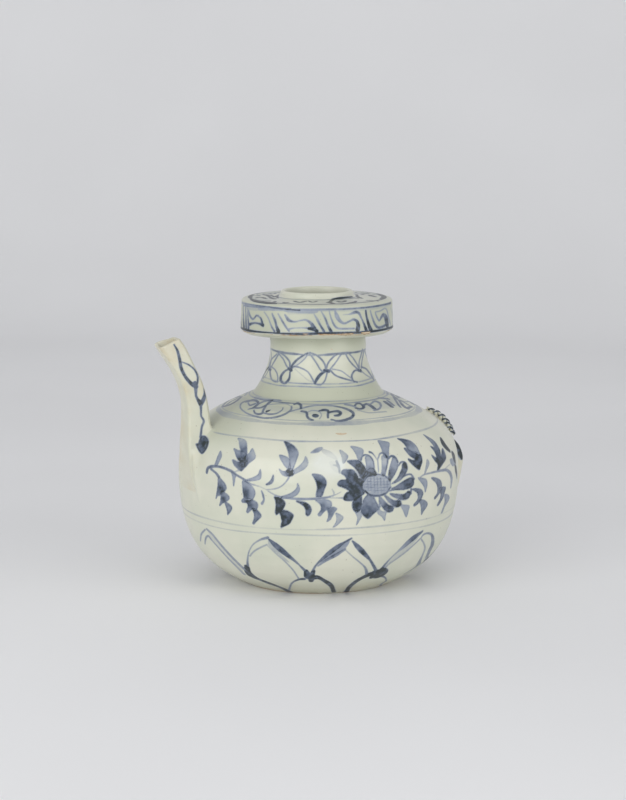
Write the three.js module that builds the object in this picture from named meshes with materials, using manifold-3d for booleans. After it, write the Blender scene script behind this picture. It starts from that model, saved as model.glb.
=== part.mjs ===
// A blue-and-white porcelain kendi, a vessel for pouring and drinking: a globular body, a short
// neck under a wide hollow flange, and a square curved spout. The pieces are the ones a potter
// throws or moulds and then joins with slip. Millimetres, +Z up. The origin is the centre of the
// flat foot, on the axis of the body, and the spout points along -X.
import * as THREE from 'three';
import { mergeVertices } from 'three/addons/utils/BufferGeometryUtils.js';
import Module from 'manifold-3d';

const wasm = await Module();
wasm.setup();

// Gap left where two pieces meet along a curved or cut face
const clearance = 0.3;

// Body, thrown in two bowls that meet at the belly
const footRadius = 38.6;
const footFlareOut = 13.7;
const footFlareUp = 7.05;
const floorThickness = 6;
const floorCoveOut = 3;
const bellyRadius = 70;
const bellyTurnHeight = 15.8;
const bellySeamHeight = 54.65;
const shoulderSpring = 20.05;
const shoulderTurnIn = 4.4;
const shoulderTurnDrop = 14.3;
const shoulderRise = 39.45;
const bodyWall = 4;

// Neck, luted to a low collar on the shoulder
const neckFootRadius = 32.9;
const neckFootLead = 1.4;
const neckRadius = 23.85;
const neckCurveRise = 21.15;
const neckCurveEase = 7.55;
const neckSeamRise = 4.2;
const neckRise = 31.9;
const neckWallThickness = 4.5;

// Hollow flange: a flat underplate and a cap with the raised lip
const flangeRadius = 38;
const flangeUnderBevelIn = 3;
const flangeUnderBevelUp = 2.5;
const underplateThickness = 3;
const flangeWallHeight = 10.6;
const flangeTaperIn = 0.5;
const rimBevelIn = 3.5;
const rimBevelUp = 2;
const flangeTopRise = 0.6;
const capWall = 3.4;
const capTopThickness = 3.4;
const lipRadius = 18.2;
const lipOpeningRadius = 16.3;
const lipHeight = 3;
const lipFillet = 1.3;

// Spout, press-moulded in two halves: where each ring lies, how far it leans outward in degrees,
// and half its depth and breadth
const spoutRings = [
  { out: 60.5, up: 50, lean: 0, depth: 8.2, breadth: 9.5 },
  { out: 63, up: 60, lean: 0, depth: 8, breadth: 9 },
  { out: 64.7, up: 68, lean: 0, depth: 7.1, breadth: 7.8 },
  { out: 65.4, up: 76, lean: 0, depth: 6.4, breadth: 6.9 },
  { out: 65.7, up: 85, lean: 2, depth: 5.8, breadth: 6.1 },
  { out: 66.6, up: 94, lean: 7, depth: 5.3, breadth: 5.7 },
  { out: 68.6, up: 102.5, lean: 16, depth: 5.1, breadth: 5.4 },
  { out: 72, up: 110, lean: 25, depth: 4.9, breadth: 5.1 },
  { out: 76.6, up: 116.8, lean: 30, depth: 4.8, breadth: 4.8 },
  { out: 81, up: 122.6, lean: 20, depth: 4.6, breadth: 4.6 },
];
const spoutWall = 1.7;
const spoutCornerRadius = 1.6;
const spoutRingsBetween = 2;
const piercingRadius = 3.8;
const piercingLean = 25;
const piercingLength = 22;
const rootCoilThickness = 1.7;
const rootCoilReach = 2;
const rootCoilFoot = 64;

// Slip bands pressed along the joints from inside
const bandThickness = 1.5;
const bellyBandHeight = 8;
const neckBandHeight = 3.6;
const flangeBandSize = 2.6;

// Applied ridge opposite the spout: a twisted rope that runs into a smooth tail. Distances are
// measured up the outside of the body from the belly seam.
const ridgeAzimuth = -10;
const ropeTop = 34;
const ropeFoot = 16;
const ropePitch = 6;
const ropeHelixRadius = 1;
const ropeStrandRadius = 0.78;
const ropeTopShare = 0.45;
const ropeTaperLength = 8;
const tailTop = 15.4;
const tailStations = [
  { along: 15.4, height: 1.2, halfWidth: 1.2 },
  { along: 12.4, height: 2.8, halfWidth: 2.2 },
  { along: 8, height: 4.7, halfWidth: 2.9 },
  { along: 2.5, height: 6.1, halfWidth: 3.3 },
  { along: -4, height: 5.2, halfWidth: 3.2 },
  { along: -11, height: 4.2, halfWidth: 2.7 },
  { along: -17, height: 2.6, halfWidth: 1.8 },
  { along: -20, height: 1.3, halfWidth: 1 },
];

// Facets round the axis, for the body and for the smaller rings
const bodyFacets = 56;
const neckFacets = 48;
const bandFacets = 36;

// Heights that follow from the sizes above
const neckFootHeight = bellySeamHeight + shoulderRise;
const neckSeamHeight = neckFootHeight + neckSeamRise;
const neckTopHeight = neckFootHeight + neckRise;
const underplateTop = neckTopHeight + underplateThickness;
const neckBoreRadius = neckRadius - neckWallThickness;

const porcelain = () => new THREE.MeshStandardMaterial({ color: 0xc8cbb9, roughness: 0.22, metalness: 0 });
const slip = () => new THREE.MeshStandardMaterial({ color: 0xd8cdb8, roughness: 0.7, metalness: 0 });

const at = (radius, height) => new THREE.Vector2(radius, height);

// Outer curves of the body and neck, radius against height
const lowerCurve = new THREE.CubicBezierCurve(
  at(footRadius, 0),
  at(footRadius + footFlareOut, footFlareUp),
  at(bellyRadius, bellyTurnHeight),
  at(bellyRadius, bellySeamHeight),
);
const shoulderCurve = new THREE.CubicBezierCurve(
  at(bellyRadius, bellySeamHeight),
  at(bellyRadius, bellySeamHeight + shoulderSpring),
  at(bellyRadius - shoulderTurnIn, neckFootHeight - shoulderTurnDrop),
  at(neckFootRadius, neckFootHeight),
);
const neckCurve = new THREE.CubicBezierCurve(
  at(neckFootRadius, neckFootHeight),
  at(neckFootRadius - neckFootLead, neckFootHeight),
  at(neckRadius, neckFootHeight + neckCurveRise - neckCurveEase),
  at(neckRadius, neckFootHeight + neckCurveRise),
);

// Where a rising curve reaches a height, as the curve's own parameter
function parameterAtHeight(curve, height) {
  let low = 0;
  let high = 1;
  for (let step = 0; step < 40; step += 1) {
    const middle = (low + high) / 2;
    if (curve.getPoint(middle).y < height) low = middle;
    else high = middle;
  }
  return low;
}

function stretchOf(curve, from, to, pieces) {
  const points = [];
  for (let i = 0; i <= pieces; i += 1) points.push(curve.getPoint(from + ((to - from) * i) / pieces));
  return points;
}

// A rising outline moved toward the axis by a wall, or away from it when the wall is negative
function inset(outline, wall) {
  return outline.map((point, i) => {
    const before = outline[Math.max(i - 1, 0)];
    const after = outline[Math.min(i + 1, outline.length - 1)];
    const along = after.clone().sub(before).normalize();
    return at(point.x - along.y * wall, point.y + along.x * wall);
  });
}

// A closed geometry as a solid whose faces point out
function toSolid(source) {
  const bare = source.clone();
  for (const name of Object.keys(bare.attributes)) {
    if (name !== 'position') bare.deleteAttribute(name);
  }
  const merged = mergeVertices(bare, 1e-4);
  const position = merged.attributes.position.array;
  const corners = merged.index.array;
  const triangles = [];
  let volume = 0;
  const [a, b, c] = [new THREE.Vector3(), new THREE.Vector3(), new THREE.Vector3()];
  for (let i = 0; i < corners.length; i += 3) {
    const [p, q, r] = [corners[i], corners[i + 1], corners[i + 2]];
    if (p === q || q === r || r === p) continue;
    triangles.push(p, q, r);
    volume += a.fromArray(position, p * 3).dot(b.fromArray(position, q * 3).cross(c.fromArray(position, r * 3)));
  }
  if (volume < 0) triangles.reverse();
  return new wasm.Manifold(new wasm.Mesh({
    numProp: 3,
    vertProperties: new Float32Array(position),
    triVerts: new Uint32Array(triangles),
  }));
}

function toMesh(name, solid, material) {
  const { vertProperties, triVerts } = solid.getMesh();
  const geometry = new THREE.BufferGeometry();
  geometry.setAttribute('position', new THREE.BufferAttribute(vertProperties, 3));
  geometry.setIndex(new THREE.BufferAttribute(triVerts, 1));
  geometry.computeVertexNormals();
  const mesh = new THREE.Mesh(geometry, material);
  mesh.name = name;
  return mesh;
}

// A profile turned round the vertical axis. It starts and ends on the axis, or closes on itself.
function turned(profile, facets) {
  const closed = profile[0].x === 0 ? profile : [...profile, profile[0]];
  return toSolid(new THREE.LatheGeometry(closed, facets).rotateX(Math.PI / 2));
}

// A skin over rings of equally many points, with a flat fan over each end
function loft(rings) {
  const around = rings[0].length;
  const positions = rings.flat().flatMap((point) => point.toArray());
  const corners = [];
  for (let i = 0; i < rings.length - 1; i += 1) {
    for (let j = 0; j < around; j += 1) {
      const next = (j + 1) % around;
      const [p, q] = [i * around + j, i * around + next];
      corners.push(p, q, q + around, p, q + around, p + around);
    }
  }
  const last = (rings.length - 1) * around;
  for (let j = 1; j < around - 1; j += 1) {
    corners.push(0, j + 1, j, last, last + j, last + j + 1);
  }
  const geometry = new THREE.BufferGeometry();
  geometry.setAttribute('position', new THREE.Float32BufferAttribute(positions, 3));
  geometry.setIndex(corners);
  return toSolid(geometry);
}

const shoulderSteps = 12;
const neckSeamParameter = parameterAtHeight(neckCurve, neckSeamHeight);
const collarRadius = neckCurve.getPoint(neckSeamParameter).x;
const collarBoreRadius = collarRadius - neckWallThickness;
const lowerOutline = lowerCurve.getPoints(12);
const shoulderOutline = shoulderCurve.getPoints(shoulderSteps);
const collarOutline = stretchOf(neckCurve, 0, neckSeamParameter, 3);
collarOutline[collarOutline.length - 1].y = neckSeamHeight;

// The outside of the whole body as one solid, grown by a margin. It cuts what is applied to it.
function bodyGrownBy(margin) {
  const outline = [...lowerOutline, ...shoulderOutline.slice(1), ...collarOutline.slice(1)];
  const grown = inset(outline, -margin);
  return turned([at(0, 0), at(grown[0].x, 0), ...grown.slice(1), at(0, neckSeamHeight + margin)], bodyFacets);
}

function lowerBody() {
  const inner = inset(lowerCurve.getPoints(10), bodyWall).filter((point) => point.y > floorThickness + 1);
  inner[inner.length - 1] = at(bellyRadius - bodyWall, bellySeamHeight);
  const profile = [
    at(0, 0),
    ...lowerOutline,
    ...inner.reverse(),
    at(footRadius + floorCoveOut, floorThickness),
    at(0, floorThickness),
  ];
  return turned(profile, bodyFacets);
}

// The hole through the shoulder under the spout, leaning in toward the belly
function piercing() {
  const root = spoutRings[3];
  const cutter = new THREE.CylinderGeometry(piercingRadius, piercingRadius, piercingLength, 20)
    .rotateX(Math.PI / 2)
    .rotateY(-THREE.MathUtils.degToRad(piercingLean))
    .translate(-root.out + 2, 0, root.up - 2);
  return toSolid(cutter);
}

function upperBody() {
  const inner = inset(shoulderCurve.getPoints(shoulderSteps), bodyWall)
    .filter((point) => point.x > collarBoreRadius + bodyWall);
  inner[0] = at(bellyRadius - bodyWall, bellySeamHeight);
  const profile = [
    ...shoulderOutline,
    ...collarOutline.slice(1),
    at(collarBoreRadius, neckSeamHeight),
    at(collarBoreRadius + 0.2 * bodyWall, neckFootHeight - 0.6 * bodyWall),
    ...inner.reverse(),
  ];
  return turned(profile, bodyFacets).subtract(piercing());
}

function neck() {
  const outer = stretchOf(neckCurve, neckSeamParameter, 1, 8);
  outer[0].y = neckSeamHeight;
  const inner = inset(outer, neckWallThickness).filter((point) => point.y > neckSeamHeight + 1);
  const profile = [
    ...outer,
    at(neckRadius, neckTopHeight),
    at(neckBoreRadius, neckTopHeight),
    ...inner.reverse(),
    at(collarBoreRadius, neckSeamHeight),
  ];
  return turned(profile, neckFacets);
}

function flangeUnderplate() {
  const profile = [
    at(neckBoreRadius, neckTopHeight),
    at(flangeRadius - flangeUnderBevelIn, neckTopHeight),
    at(flangeRadius - 0.4 * flangeUnderBevelIn, neckTopHeight + 0.35 * flangeUnderBevelUp),
    at(flangeRadius, neckTopHeight + flangeUnderBevelUp),
    at(flangeRadius, underplateTop),
    at(neckBoreRadius, underplateTop),
  ];
  return turned(profile, bodyFacets);
}

// Wall, bevel, slightly domed top and raised lip in one thin shell, open below
function flangeCap() {
  const wallTop = underplateTop + flangeWallHeight;
  const topEdge = wallTop + rimBevelUp;
  const topFoot = topEdge + flangeTopRise;
  const lipTop = topFoot + lipHeight;
  const lipMiddle = (lipRadius + lipOpeningRadius) / 2;
  const rimRadius = flangeRadius - flangeTaperIn;
  const ceiling = topEdge - capTopThickness;
  const profile = [
    at(flangeRadius, underplateTop),
    at(rimRadius, wallTop),
    at(rimRadius - 0.35 * rimBevelIn, wallTop + 0.6 * rimBevelUp),
    at(rimRadius - rimBevelIn, topEdge),
    at(lipRadius + lipFillet, topFoot),
    at(lipRadius + 0.25 * lipFillet, topFoot + 0.4 * lipFillet),
    at(lipRadius, topFoot + lipFillet),
    at(lipRadius, lipTop - 0.7),
    at(lipMiddle, lipTop),
    at(lipOpeningRadius, lipTop - 0.7),
    at(lipOpeningRadius, ceiling + 1),
    at(lipOpeningRadius + 1, ceiling),
    at(rimRadius - capWall - 1.5, ceiling),
    at(rimRadius - capWall, ceiling - 1.5),
    at(flangeRadius - capWall, underplateTop),
  ];
  return turned(profile, bodyFacets);
}

// Rounded rectangle in the plane of a spout ring, sixteen points from four corner arcs
function spoutSection(depth, breadth) {
  const radius = Math.min(spoutCornerRadius, depth / 2, breadth / 2);
  const points = [];
  for (let corner = 0; corner < 4; corner += 1) {
    const sideX = corner === 0 || corner === 3 ? 1 : -1;
    const sideY = corner < 2 ? 1 : -1;
    for (let step = 0; step < 4; step += 1) {
      const angle = ((corner * 3 + step) * Math.PI) / 6;
      points.push(at(
        sideX * (depth - radius) + radius * Math.cos(angle),
        sideY * (breadth - radius) + radius * Math.sin(angle),
      ));
    }
  }
  return points;
}

// The spout's tube, grown by a margin on every side, and lengthened past its mouth
function spoutTube(margin, pastMouth) {
  const place = new THREE.CatmullRomCurve3(
    spoutRings.map((ring) => new THREE.Vector3(ring.out, ring.up, ring.lean)),
    false,
    'catmullrom',
    0.5,
  );
  const size = new THREE.CatmullRomCurve3(
    spoutRings.map((ring) => new THREE.Vector3(ring.depth, ring.breadth, 0)),
    false,
    'catmullrom',
    0.5,
  );
  const count = (spoutRings.length - 1) * spoutRingsBetween;
  const rings = [];
  for (let i = 0; i <= count; i += 1) {
    const { x: out, y: up, z: lean } = place.getPoint(i / count);
    const { x: depth, y: breadth } = size.getPoint(i / count);
    rings.push(ringAt(out, up, lean, depth + margin, breadth + margin));
  }
  if (pastMouth > 0) {
    const [before, mouth] = spoutRings.slice(-2);
    const share = pastMouth / Math.hypot(mouth.out - before.out, mouth.up - before.up);
    rings.push(ringAt(
      mouth.out + (mouth.out - before.out) * share,
      mouth.up + (mouth.up - before.up) * share,
      mouth.lean,
      mouth.depth + margin,
      mouth.breadth + margin,
    ));
  }
  return loft(rings);
}

function ringAt(out, up, lean, depth, breadth) {
  const angle = THREE.MathUtils.degToRad(lean);
  return spoutSection(depth, breadth).map((point) => new THREE.Vector3(
    -(out + point.x * Math.cos(angle)),
    point.y,
    up - point.x * Math.sin(angle),
  ));
}

// One half of the spout, on the side of its middle plane that the sign names
function spoutHalf(whole, sign) {
  const reach = 4 * bellyRadius;
  const side = new THREE.BoxGeometry(reach, reach, reach).translate(0, (sign * reach) / 2, 0);
  return whole.intersect(toSolid(side));
}

// The coil of slip smoothed into the angle between the spout and the shoulder
function spoutRootCoil() {
  const reach = 4 * bellyRadius;
  const above = new THREE.BoxGeometry(reach, reach, reach).translate(0, 0, rootCoilFoot + reach / 2);
  const sleeve = spoutTube(clearance + rootCoilThickness, 0).subtract(spoutTube(clearance, 0));
  const shell = bodyGrownBy(clearance + rootCoilReach).subtract(bodyGrownBy(clearance));
  return sleeve.intersect(shell).intersect(toSolid(above));
}

// A low ring of slip against an inside wall, leaning in by a share at its top
function slipBand(wallRadius, middle, height, topIn) {
  const outer = wallRadius - clearance;
  const profile = [
    at(outer, middle - height / 2),
    at(outer - topIn, middle + height / 2),
    at(outer - topIn - 0.5 * bandThickness, middle + height / 2),
    at(outer - bandThickness, middle),
    at(outer - 0.5 * bandThickness, middle - height / 2),
  ];
  return turned(profile, bandFacets);
}

function flangeBand() {
  const outer = flangeRadius - capWall - flangeTaperIn - clearance;
  const low = underplateTop + clearance;
  return turned([at(outer - flangeBandSize, low), at(outer, low), at(outer, low + flangeBandSize)], bandFacets);
}

// The outline of the body as one smooth line, with the distance along it counted from the belly
// seam, up the shoulder or down the lower wall
const shoulderLength = shoulderCurve.getLength();
const lowerLength = lowerCurve.getLength();

function surfaceAt(along) {
  const curve = along >= 0 ? shoulderCurve : lowerCurve;
  const share = along >= 0 ? along / shoulderLength : 1 + along / lowerLength;
  const point = curve.getPointAt(share);
  const tangent = curve.getTangentAt(share);
  const azimuth = THREE.MathUtils.degToRad(ridgeAzimuth);
  const outward = new THREE.Vector3(Math.cos(azimuth), Math.sin(azimuth), 0);
  const up = new THREE.Vector3(0, 0, 1);
  return {
    place: outward.clone().multiplyScalar(point.x).addScaledVector(up, point.y),
    forward: outward.clone().multiplyScalar(tangent.x).addScaledVector(up, tangent.y),
    normal: outward.clone().multiplyScalar(tangent.y).addScaledVector(up, -tangent.x),
    across: new THREE.Vector3(-Math.sin(azimuth), Math.cos(azimuth), 0),
  };
}

// One strand of the rope, laid round a line that keeps just clear of the body
function ropeStrand(phase) {
  const stepsPerTurn = 10;
  const sides = 8;
  const steps = Math.round(((ropeTop - ropeFoot) / ropePitch) * stepsPerTurn);
  const shareAt = (along) => {
    const fromTop = Math.min((ropeTop - along) / ropeTaperLength, 1);
    return ropeTopShare + (1 - ropeTopShare) * fromTop;
  };
  const centreAt = (along) => {
    const { place, normal, across } = surfaceAt(along);
    const share = shareAt(along);
    const turn = (2 * Math.PI * along) / ropePitch + phase;
    const lift = clearance + share * (ropeHelixRadius + ropeStrandRadius);
    return place
      .addScaledVector(normal, lift + share * ropeHelixRadius * Math.cos(turn))
      .addScaledVector(across, share * ropeHelixRadius * Math.sin(turn));
  };
  const rings = [];
  for (let i = 0; i <= steps; i += 1) {
    const along = ropeFoot + ((ropeTop - ropeFoot) * i) / steps;
    const centre = centreAt(along);
    const direction = centreAt(along + 0.05).sub(centreAt(along - 0.05)).normalize();
    const first = new THREE.Vector3().crossVectors(surfaceAt(along).across, direction).normalize();
    const second = new THREE.Vector3().crossVectors(direction, first);
    const radius = ropeStrandRadius * shareAt(along);
    const ring = [];
    for (let j = 0; j < sides; j += 1) {
      const angle = (2 * Math.PI * j) / sides;
      ring.push(centre.clone()
        .addScaledVector(first, radius * Math.cos(angle))
        .addScaledVector(second, radius * Math.sin(angle)));
    }
    rings.push(ring);
  }
  return loft(rings);
}

// The smooth tail under the rope, a rounded roll pressed on to the belly
function tailRoll() {
  const sides = 16;
  const line = new THREE.CatmullRomCurve3(
    tailStations.map((station) => new THREE.Vector3(station.along, station.height, station.halfWidth)),
    false,
    'catmullrom',
    0.5,
  );
  const rings = line.getPoints((tailStations.length - 1) * 3).map(({ x: along, y: height, z: halfWidth }) => {
    const { place, normal, across } = surfaceAt(along);
    const ring = [];
    for (let j = 0; j < sides; j += 1) {
      const angle = (2 * Math.PI * j) / sides;
      ring.push(place.clone()
        .addScaledVector(normal, height * Math.cos(angle))
        .addScaledVector(across, halfWidth * Math.sin(angle)));
    }
    return ring;
  });
  return loft(rings).subtract(bodyGrownBy(clearance));
}

const spoutShell = spoutTube(0, 0).subtract(spoutTube(-spoutWall, 2)).subtract(bodyGrownBy(clearance));

const group = new THREE.Group();
group.add(
  toMesh('lower_body', lowerBody(), porcelain()),
  toMesh('upper_body', upperBody(), porcelain()),
  toMesh('neck', neck(), porcelain()),
  toMesh('flange_underplate', flangeUnderplate(), porcelain()),
  toMesh('flange_cap', flangeCap(), porcelain()),
  toMesh('spout_left_half', spoutHalf(spoutShell, -1), porcelain()),
  toMesh('spout_right_half', spoutHalf(spoutShell, 1), porcelain()),
  toMesh('spout_root_coil', spoutRootCoil(), porcelain()),
  toMesh('belly_slip_band', slipBand(bellyRadius - bodyWall, bellySeamHeight, bellyBandHeight, 0.1), slip()),
  toMesh('neck_slip_band', slipBand(collarBoreRadius, neckSeamHeight - 1.2, neckBandHeight, 0.9), slip()),
  toMesh('flange_slip_band', flangeBand(), slip()),
  toMesh('rope_strand_a', ropeStrand(0), porcelain()),
  toMesh('rope_strand_b', ropeStrand(Math.PI), porcelain()),
  toMesh('tail_roll', tailRoll(), porcelain()),
);

export default group;
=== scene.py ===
"""A blue-and-white porcelain kendi: its glaze, brushwork and worn edges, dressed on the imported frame."""
import math

import bpy
import numpy as np
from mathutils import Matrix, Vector


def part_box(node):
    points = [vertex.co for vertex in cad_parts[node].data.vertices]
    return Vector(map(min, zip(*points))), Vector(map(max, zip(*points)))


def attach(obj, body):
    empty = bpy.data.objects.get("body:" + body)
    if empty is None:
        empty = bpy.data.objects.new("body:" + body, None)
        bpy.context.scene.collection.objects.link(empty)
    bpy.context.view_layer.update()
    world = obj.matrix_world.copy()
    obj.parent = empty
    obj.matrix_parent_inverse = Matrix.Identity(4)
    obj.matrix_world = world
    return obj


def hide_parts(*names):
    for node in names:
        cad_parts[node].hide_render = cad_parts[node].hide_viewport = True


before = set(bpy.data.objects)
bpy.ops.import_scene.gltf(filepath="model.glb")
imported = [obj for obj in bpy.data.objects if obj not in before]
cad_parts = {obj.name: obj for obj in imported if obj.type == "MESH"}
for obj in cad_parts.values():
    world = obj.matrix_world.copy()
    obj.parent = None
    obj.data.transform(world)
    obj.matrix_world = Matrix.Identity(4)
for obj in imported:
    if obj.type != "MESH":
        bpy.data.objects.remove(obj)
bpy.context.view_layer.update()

MM = 0.001
FAR = 9.0
TAU = 2 * math.pi

# The view of the photograph: degrees, millimetres and pixels
VIEW_AZIMUTH = -24.0
VIEW_ELEVATION = 8.9
VIEW_DISTANCE = 1100.0
VIEW_HEIGHT = 89.8
VIEW_LEFT = 2.65
PHOTO_SIZE = (626, 800)
FOCAL_PIXELS = 2200.0
PIXEL = 0.5
SENSOR = 36.0
# How far nearer and farther than the axis a line of sight is searched, and the step
SEARCH_NEARER, SEARCH_FARTHER, SEARCH_STEP = 90, 40, 0.2
# Least share of its breadth that a brush line is taken to show where the surface turns away
LEAST_SEEN = 0.38


def low_of(node):
    """Lowest corner of a CAD node, in millimetres."""
    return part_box(node)[0] / MM


def high_of(node):
    """Highest corner of a CAD node, in millimetres."""
    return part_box(node)[1] / MM


# Sizes of the vessel that the frame gives
BELLY_RADIUS = high_of("lower_body").y
BELLY_SEAM = high_of("lower_body").z
NECK_SEAM = low_of("neck").z
NECK_TOP = high_of("neck").z
PLATE_TOP = high_of("flange_underplate").z
FLANGE_RADIUS = high_of("flange_cap").y
LIP_TOP = high_of("flange_cap").z

# Sizes of the vessel that only its outline needs, in millimetres
FOOT_RADIUS = 38.6
FOOT_FLARE = (13.7, 7.05)
BELLY_TURN = 15.8
SHOULDER_SPRING = 20.05
SHOULDER_TURN = (4.4, 14.3)
NECK_FOOT = (32.9, 94.1)
NECK_FOOT_LEAD = 1.4
NECK_RADIUS = 23.85
NECK_CURVE = (13.6, 21.15)
BODY_WALL = 4.0
FLOOR = 6.0
NECK_WALL = 4.5
FLANGE_WALL_TOP = 140.3
RIM_RADIUS = 37.5
RIM_BEVEL = (3.5, 1.4)
TOP_FOOT = 142.2
LIP_RADIUS = 18.2
LIP_OPENING = 16.3
UNDER_BEVEL = (3.0, 2.5)

# Spout: where each ring lies, its lean in degrees, and half its depth and breadth
SPOUT_RINGS = (
    (60.5, 50, 0, 8.2, 9.5),
    (63, 60, 0, 8, 9),
    (64.7, 68, 0, 7.1, 7.8),
    (65.4, 76, 0, 6.4, 6.9),
    (65.7, 85, 2, 5.8, 6.1),
    (66.6, 94, 7, 5.3, 5.7),
    (68.6, 102.5, 16, 5.1, 5.4),
    (72, 110, 25, 4.9, 5.1),
    (76.0, 117.2, 30, 5.4, 4.9),
    (80.1, 123.0, 22, 5.7, 4.8),
)
SPOUT_WALL = 1.7
SPOUT_CORNER = 1.9
CROTCH_FILLET, LOW_FILLET = 4.5, 9.0
CROTCH_HEIGHT, LOW_HEIGHT = 77.0, 62.0
FILLET_OVERLAP = 0.8
FILLET_FADE = 1.2
SPOUT_LIP = ((0.08, 1.7, 0.25), (0.3, 1.5, 0.45), (0.6, 1.3, 0.55), (1.1, 1.0, 0.55), (1.5, 0.8, 0.35))
BORE_CORNER = 0.8
MOUTH_SLIP = 1.5

# The flange, set on by hand: how far left of true it stands, and how its wall has sagged
FLANGE_ASIDE = 0.7
FLANGE_SAG = 1.0
SAG_ROUNDING = 1500.0
SAG_LEAN = 0.008
ASIDE_FROM = (118, 127)
SAG_FROM = (119, 126)
SAG_UNTIL = (129, 140)

# Ridge opposite the spout: distances up the outline from the belly seam
RIDGE_AZIMUTH = math.radians(-10)
ROPE = (13.8, 33.6)
ROPE_PITCH = 6.0
ROPE_HELIX = 1.0
ROPE_STRAND = 0.78
ROPE_PLUMP = 1.12
ROPE_TAPER = (0.45, 8.0)
ROPE_LIFT = 0.3
TAIL_STATIONS = (
    (13.8, 1.2, 1.2),
    (11.4, 2.7, 2.2),
    (8, 4.7, 2.9),
    (2.5, 6.1, 3.3),
    (-4, 5.2, 3.2),
    (-11, 4.2, 2.7),
    (-17, 2.6, 1.8),
    (-20, 1.3, 1),
)
# Strokes on the tail: width, tone, and places aside of its middle and up the outline
TAIL_STROKES = (
    ((2.6, 2.4, 2.0, 2.2, 1.0), 1.0, ((0.6, 13.2), (1.0, 11), (1.5, 8.5), (1.8, 5), (1.9, 2.2))),
    ((0.8, 1.1, 0.9), 0.9, ((0.2, 9), (0.35, 6.5), (0.9, 3.5))),
)

# Drift of a form thrown by hand: depth, waves round it, rise of the wave in radians to a millimetre, phase
DRIFTS = ((0.14, 2, 0.03, 1), (0.06, 3, -0.05, 0), (0.05, 1, 0.15, 0))
# Rings that the fingers leave
FINGER_DEPTH, FINGER_PITCH, FINGER_LEAN = 0.035, 5.3, 0.6

# Fineness of the skins
COLUMNS = 1024
ROW_STEP = 0.43
WALL_STEP = 0.3
COARSE_STEP = 2.5


def bezier(points, count=160):
    """Points on a cubic curve from its four handles."""
    p = np.asarray(points, float)
    t = np.linspace(0, 1, count + 1)[:, None]
    return (1 - t) ** 3 * p[0] + 3 * (1 - t) ** 2 * t * p[1] + 3 * (1 - t) * t**2 * p[2] + t**3 * p[3]


def lengths_along(points):
    """Distance along a line to each of its points."""
    steps = np.hypot(*np.diff(np.asarray(points, float)[:, :2], axis=0).T)
    return np.concatenate([[0.0], np.cumsum(steps)])


def evenly(points, step):
    """The same line, with points a step apart."""
    points = np.asarray(points, float)
    lengths = lengths_along(points)
    marks = np.linspace(0, lengths[-1], max(1, round(lengths[-1] / step)) + 1)
    return np.stack([np.interp(marks, lengths, points[:, k]) for k in range(points.shape[1])], 1)


def inset(outline, wall):
    """A rising outline moved toward the axis by a wall."""
    along = np.gradient(outline, axis=0)
    along /= np.linalg.norm(along, axis=1)[:, None]
    return outline + wall * np.stack([-along[:, 1], along[:, 0]], 1)


def smoothly(points, step=0.35, closed=False):
    """A Catmull-Rom line through given points, in their own units."""
    p = np.asarray(points, float)
    if len(p) < 3:
        return evenly(p, step)
    before, after = (p[-1:], p[:2]) if closed else (2 * p[:1] - p[1:2], 2 * p[-1:] - p[-2:-1])
    p = np.concatenate([before, p, after])
    out = []
    for a, b, c, d in zip(p, p[1:], p[2:], p[3:]):
        count = max(2, int(np.hypot(*(c - b)[:2]) / step))
        t = np.linspace(0, 1, count, endpoint=False)[:, None]
        bend, turn = 2 * a - 5 * b + 4 * c - d, 3 * b - a - 3 * c + d
        out.append(0.5 * (2 * b + (c - a) * t + bend * t**2 + turn * t**3))
    if not closed:
        out.append(p[-2:-1])
    return np.concatenate(out)


def ease(value, low, high):
    """0 below low, 1 above high, and a smooth step between."""
    t = np.clip((value - low) / (high - low), 0, 1)
    return t * t * (3 - 2 * t)


def fade(value, low, high):
    """1 below low, 0 above high, and a smooth step between."""
    return 1 - ease(value, low, high)


def about(value, middle, inner, outer):
    """1 within inner of a middle value, 0 from outer on, and a smooth step between."""
    return fade(np.abs(value - middle), inner, outer)


# Outer lines of the three thrown pieces, radius against height
LOWER_LINE = evenly(bezier([
    (FOOT_RADIUS, 0),
    (FOOT_RADIUS + FOOT_FLARE[0], FOOT_FLARE[1]),
    (BELLY_RADIUS, BELLY_TURN),
    (BELLY_RADIUS, BELLY_SEAM),
]), ROW_STEP)
SHOULDER_CURVE = bezier([
    (BELLY_RADIUS, BELLY_SEAM),
    (BELLY_RADIUS, BELLY_SEAM + SHOULDER_SPRING),
    (BELLY_RADIUS - SHOULDER_TURN[0], NECK_FOOT[1] - SHOULDER_TURN[1]),
    NECK_FOOT,
])
NECK_CURVE_LINE = bezier([
    NECK_FOOT,
    (NECK_FOOT[0] - NECK_FOOT_LEAD, NECK_FOOT[1]),
    (NECK_RADIUS, NECK_FOOT[1] + NECK_CURVE[0]),
    (NECK_RADIUS, NECK_FOOT[1] + NECK_CURVE[1]),
])
COLLAR_RADIUS = float(np.interp(NECK_SEAM, NECK_CURVE_LINE[:, 1], NECK_CURVE_LINE[:, 0]))
COLLAR = [tuple(p) for p in NECK_CURVE_LINE if p[1] < NECK_SEAM - 0.05] + [(COLLAR_RADIUS, NECK_SEAM)]
UPPER_LINE = evenly(np.concatenate([SHOULDER_CURVE, COLLAR[1:]]), ROW_STEP)
NECK_LINE = evenly(np.array(
    [(COLLAR_RADIUS, NECK_SEAM)]
    + [tuple(p) for p in NECK_CURVE_LINE if p[1] > NECK_SEAM + 0.05]
    + [(NECK_RADIUS, NECK_TOP)]
), ROW_STEP)
FRONT = math.radians(VIEW_AZIMUTH - 90)
SPOUT_LINE = smoothly(SPOUT_RINGS, ROW_STEP)


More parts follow.
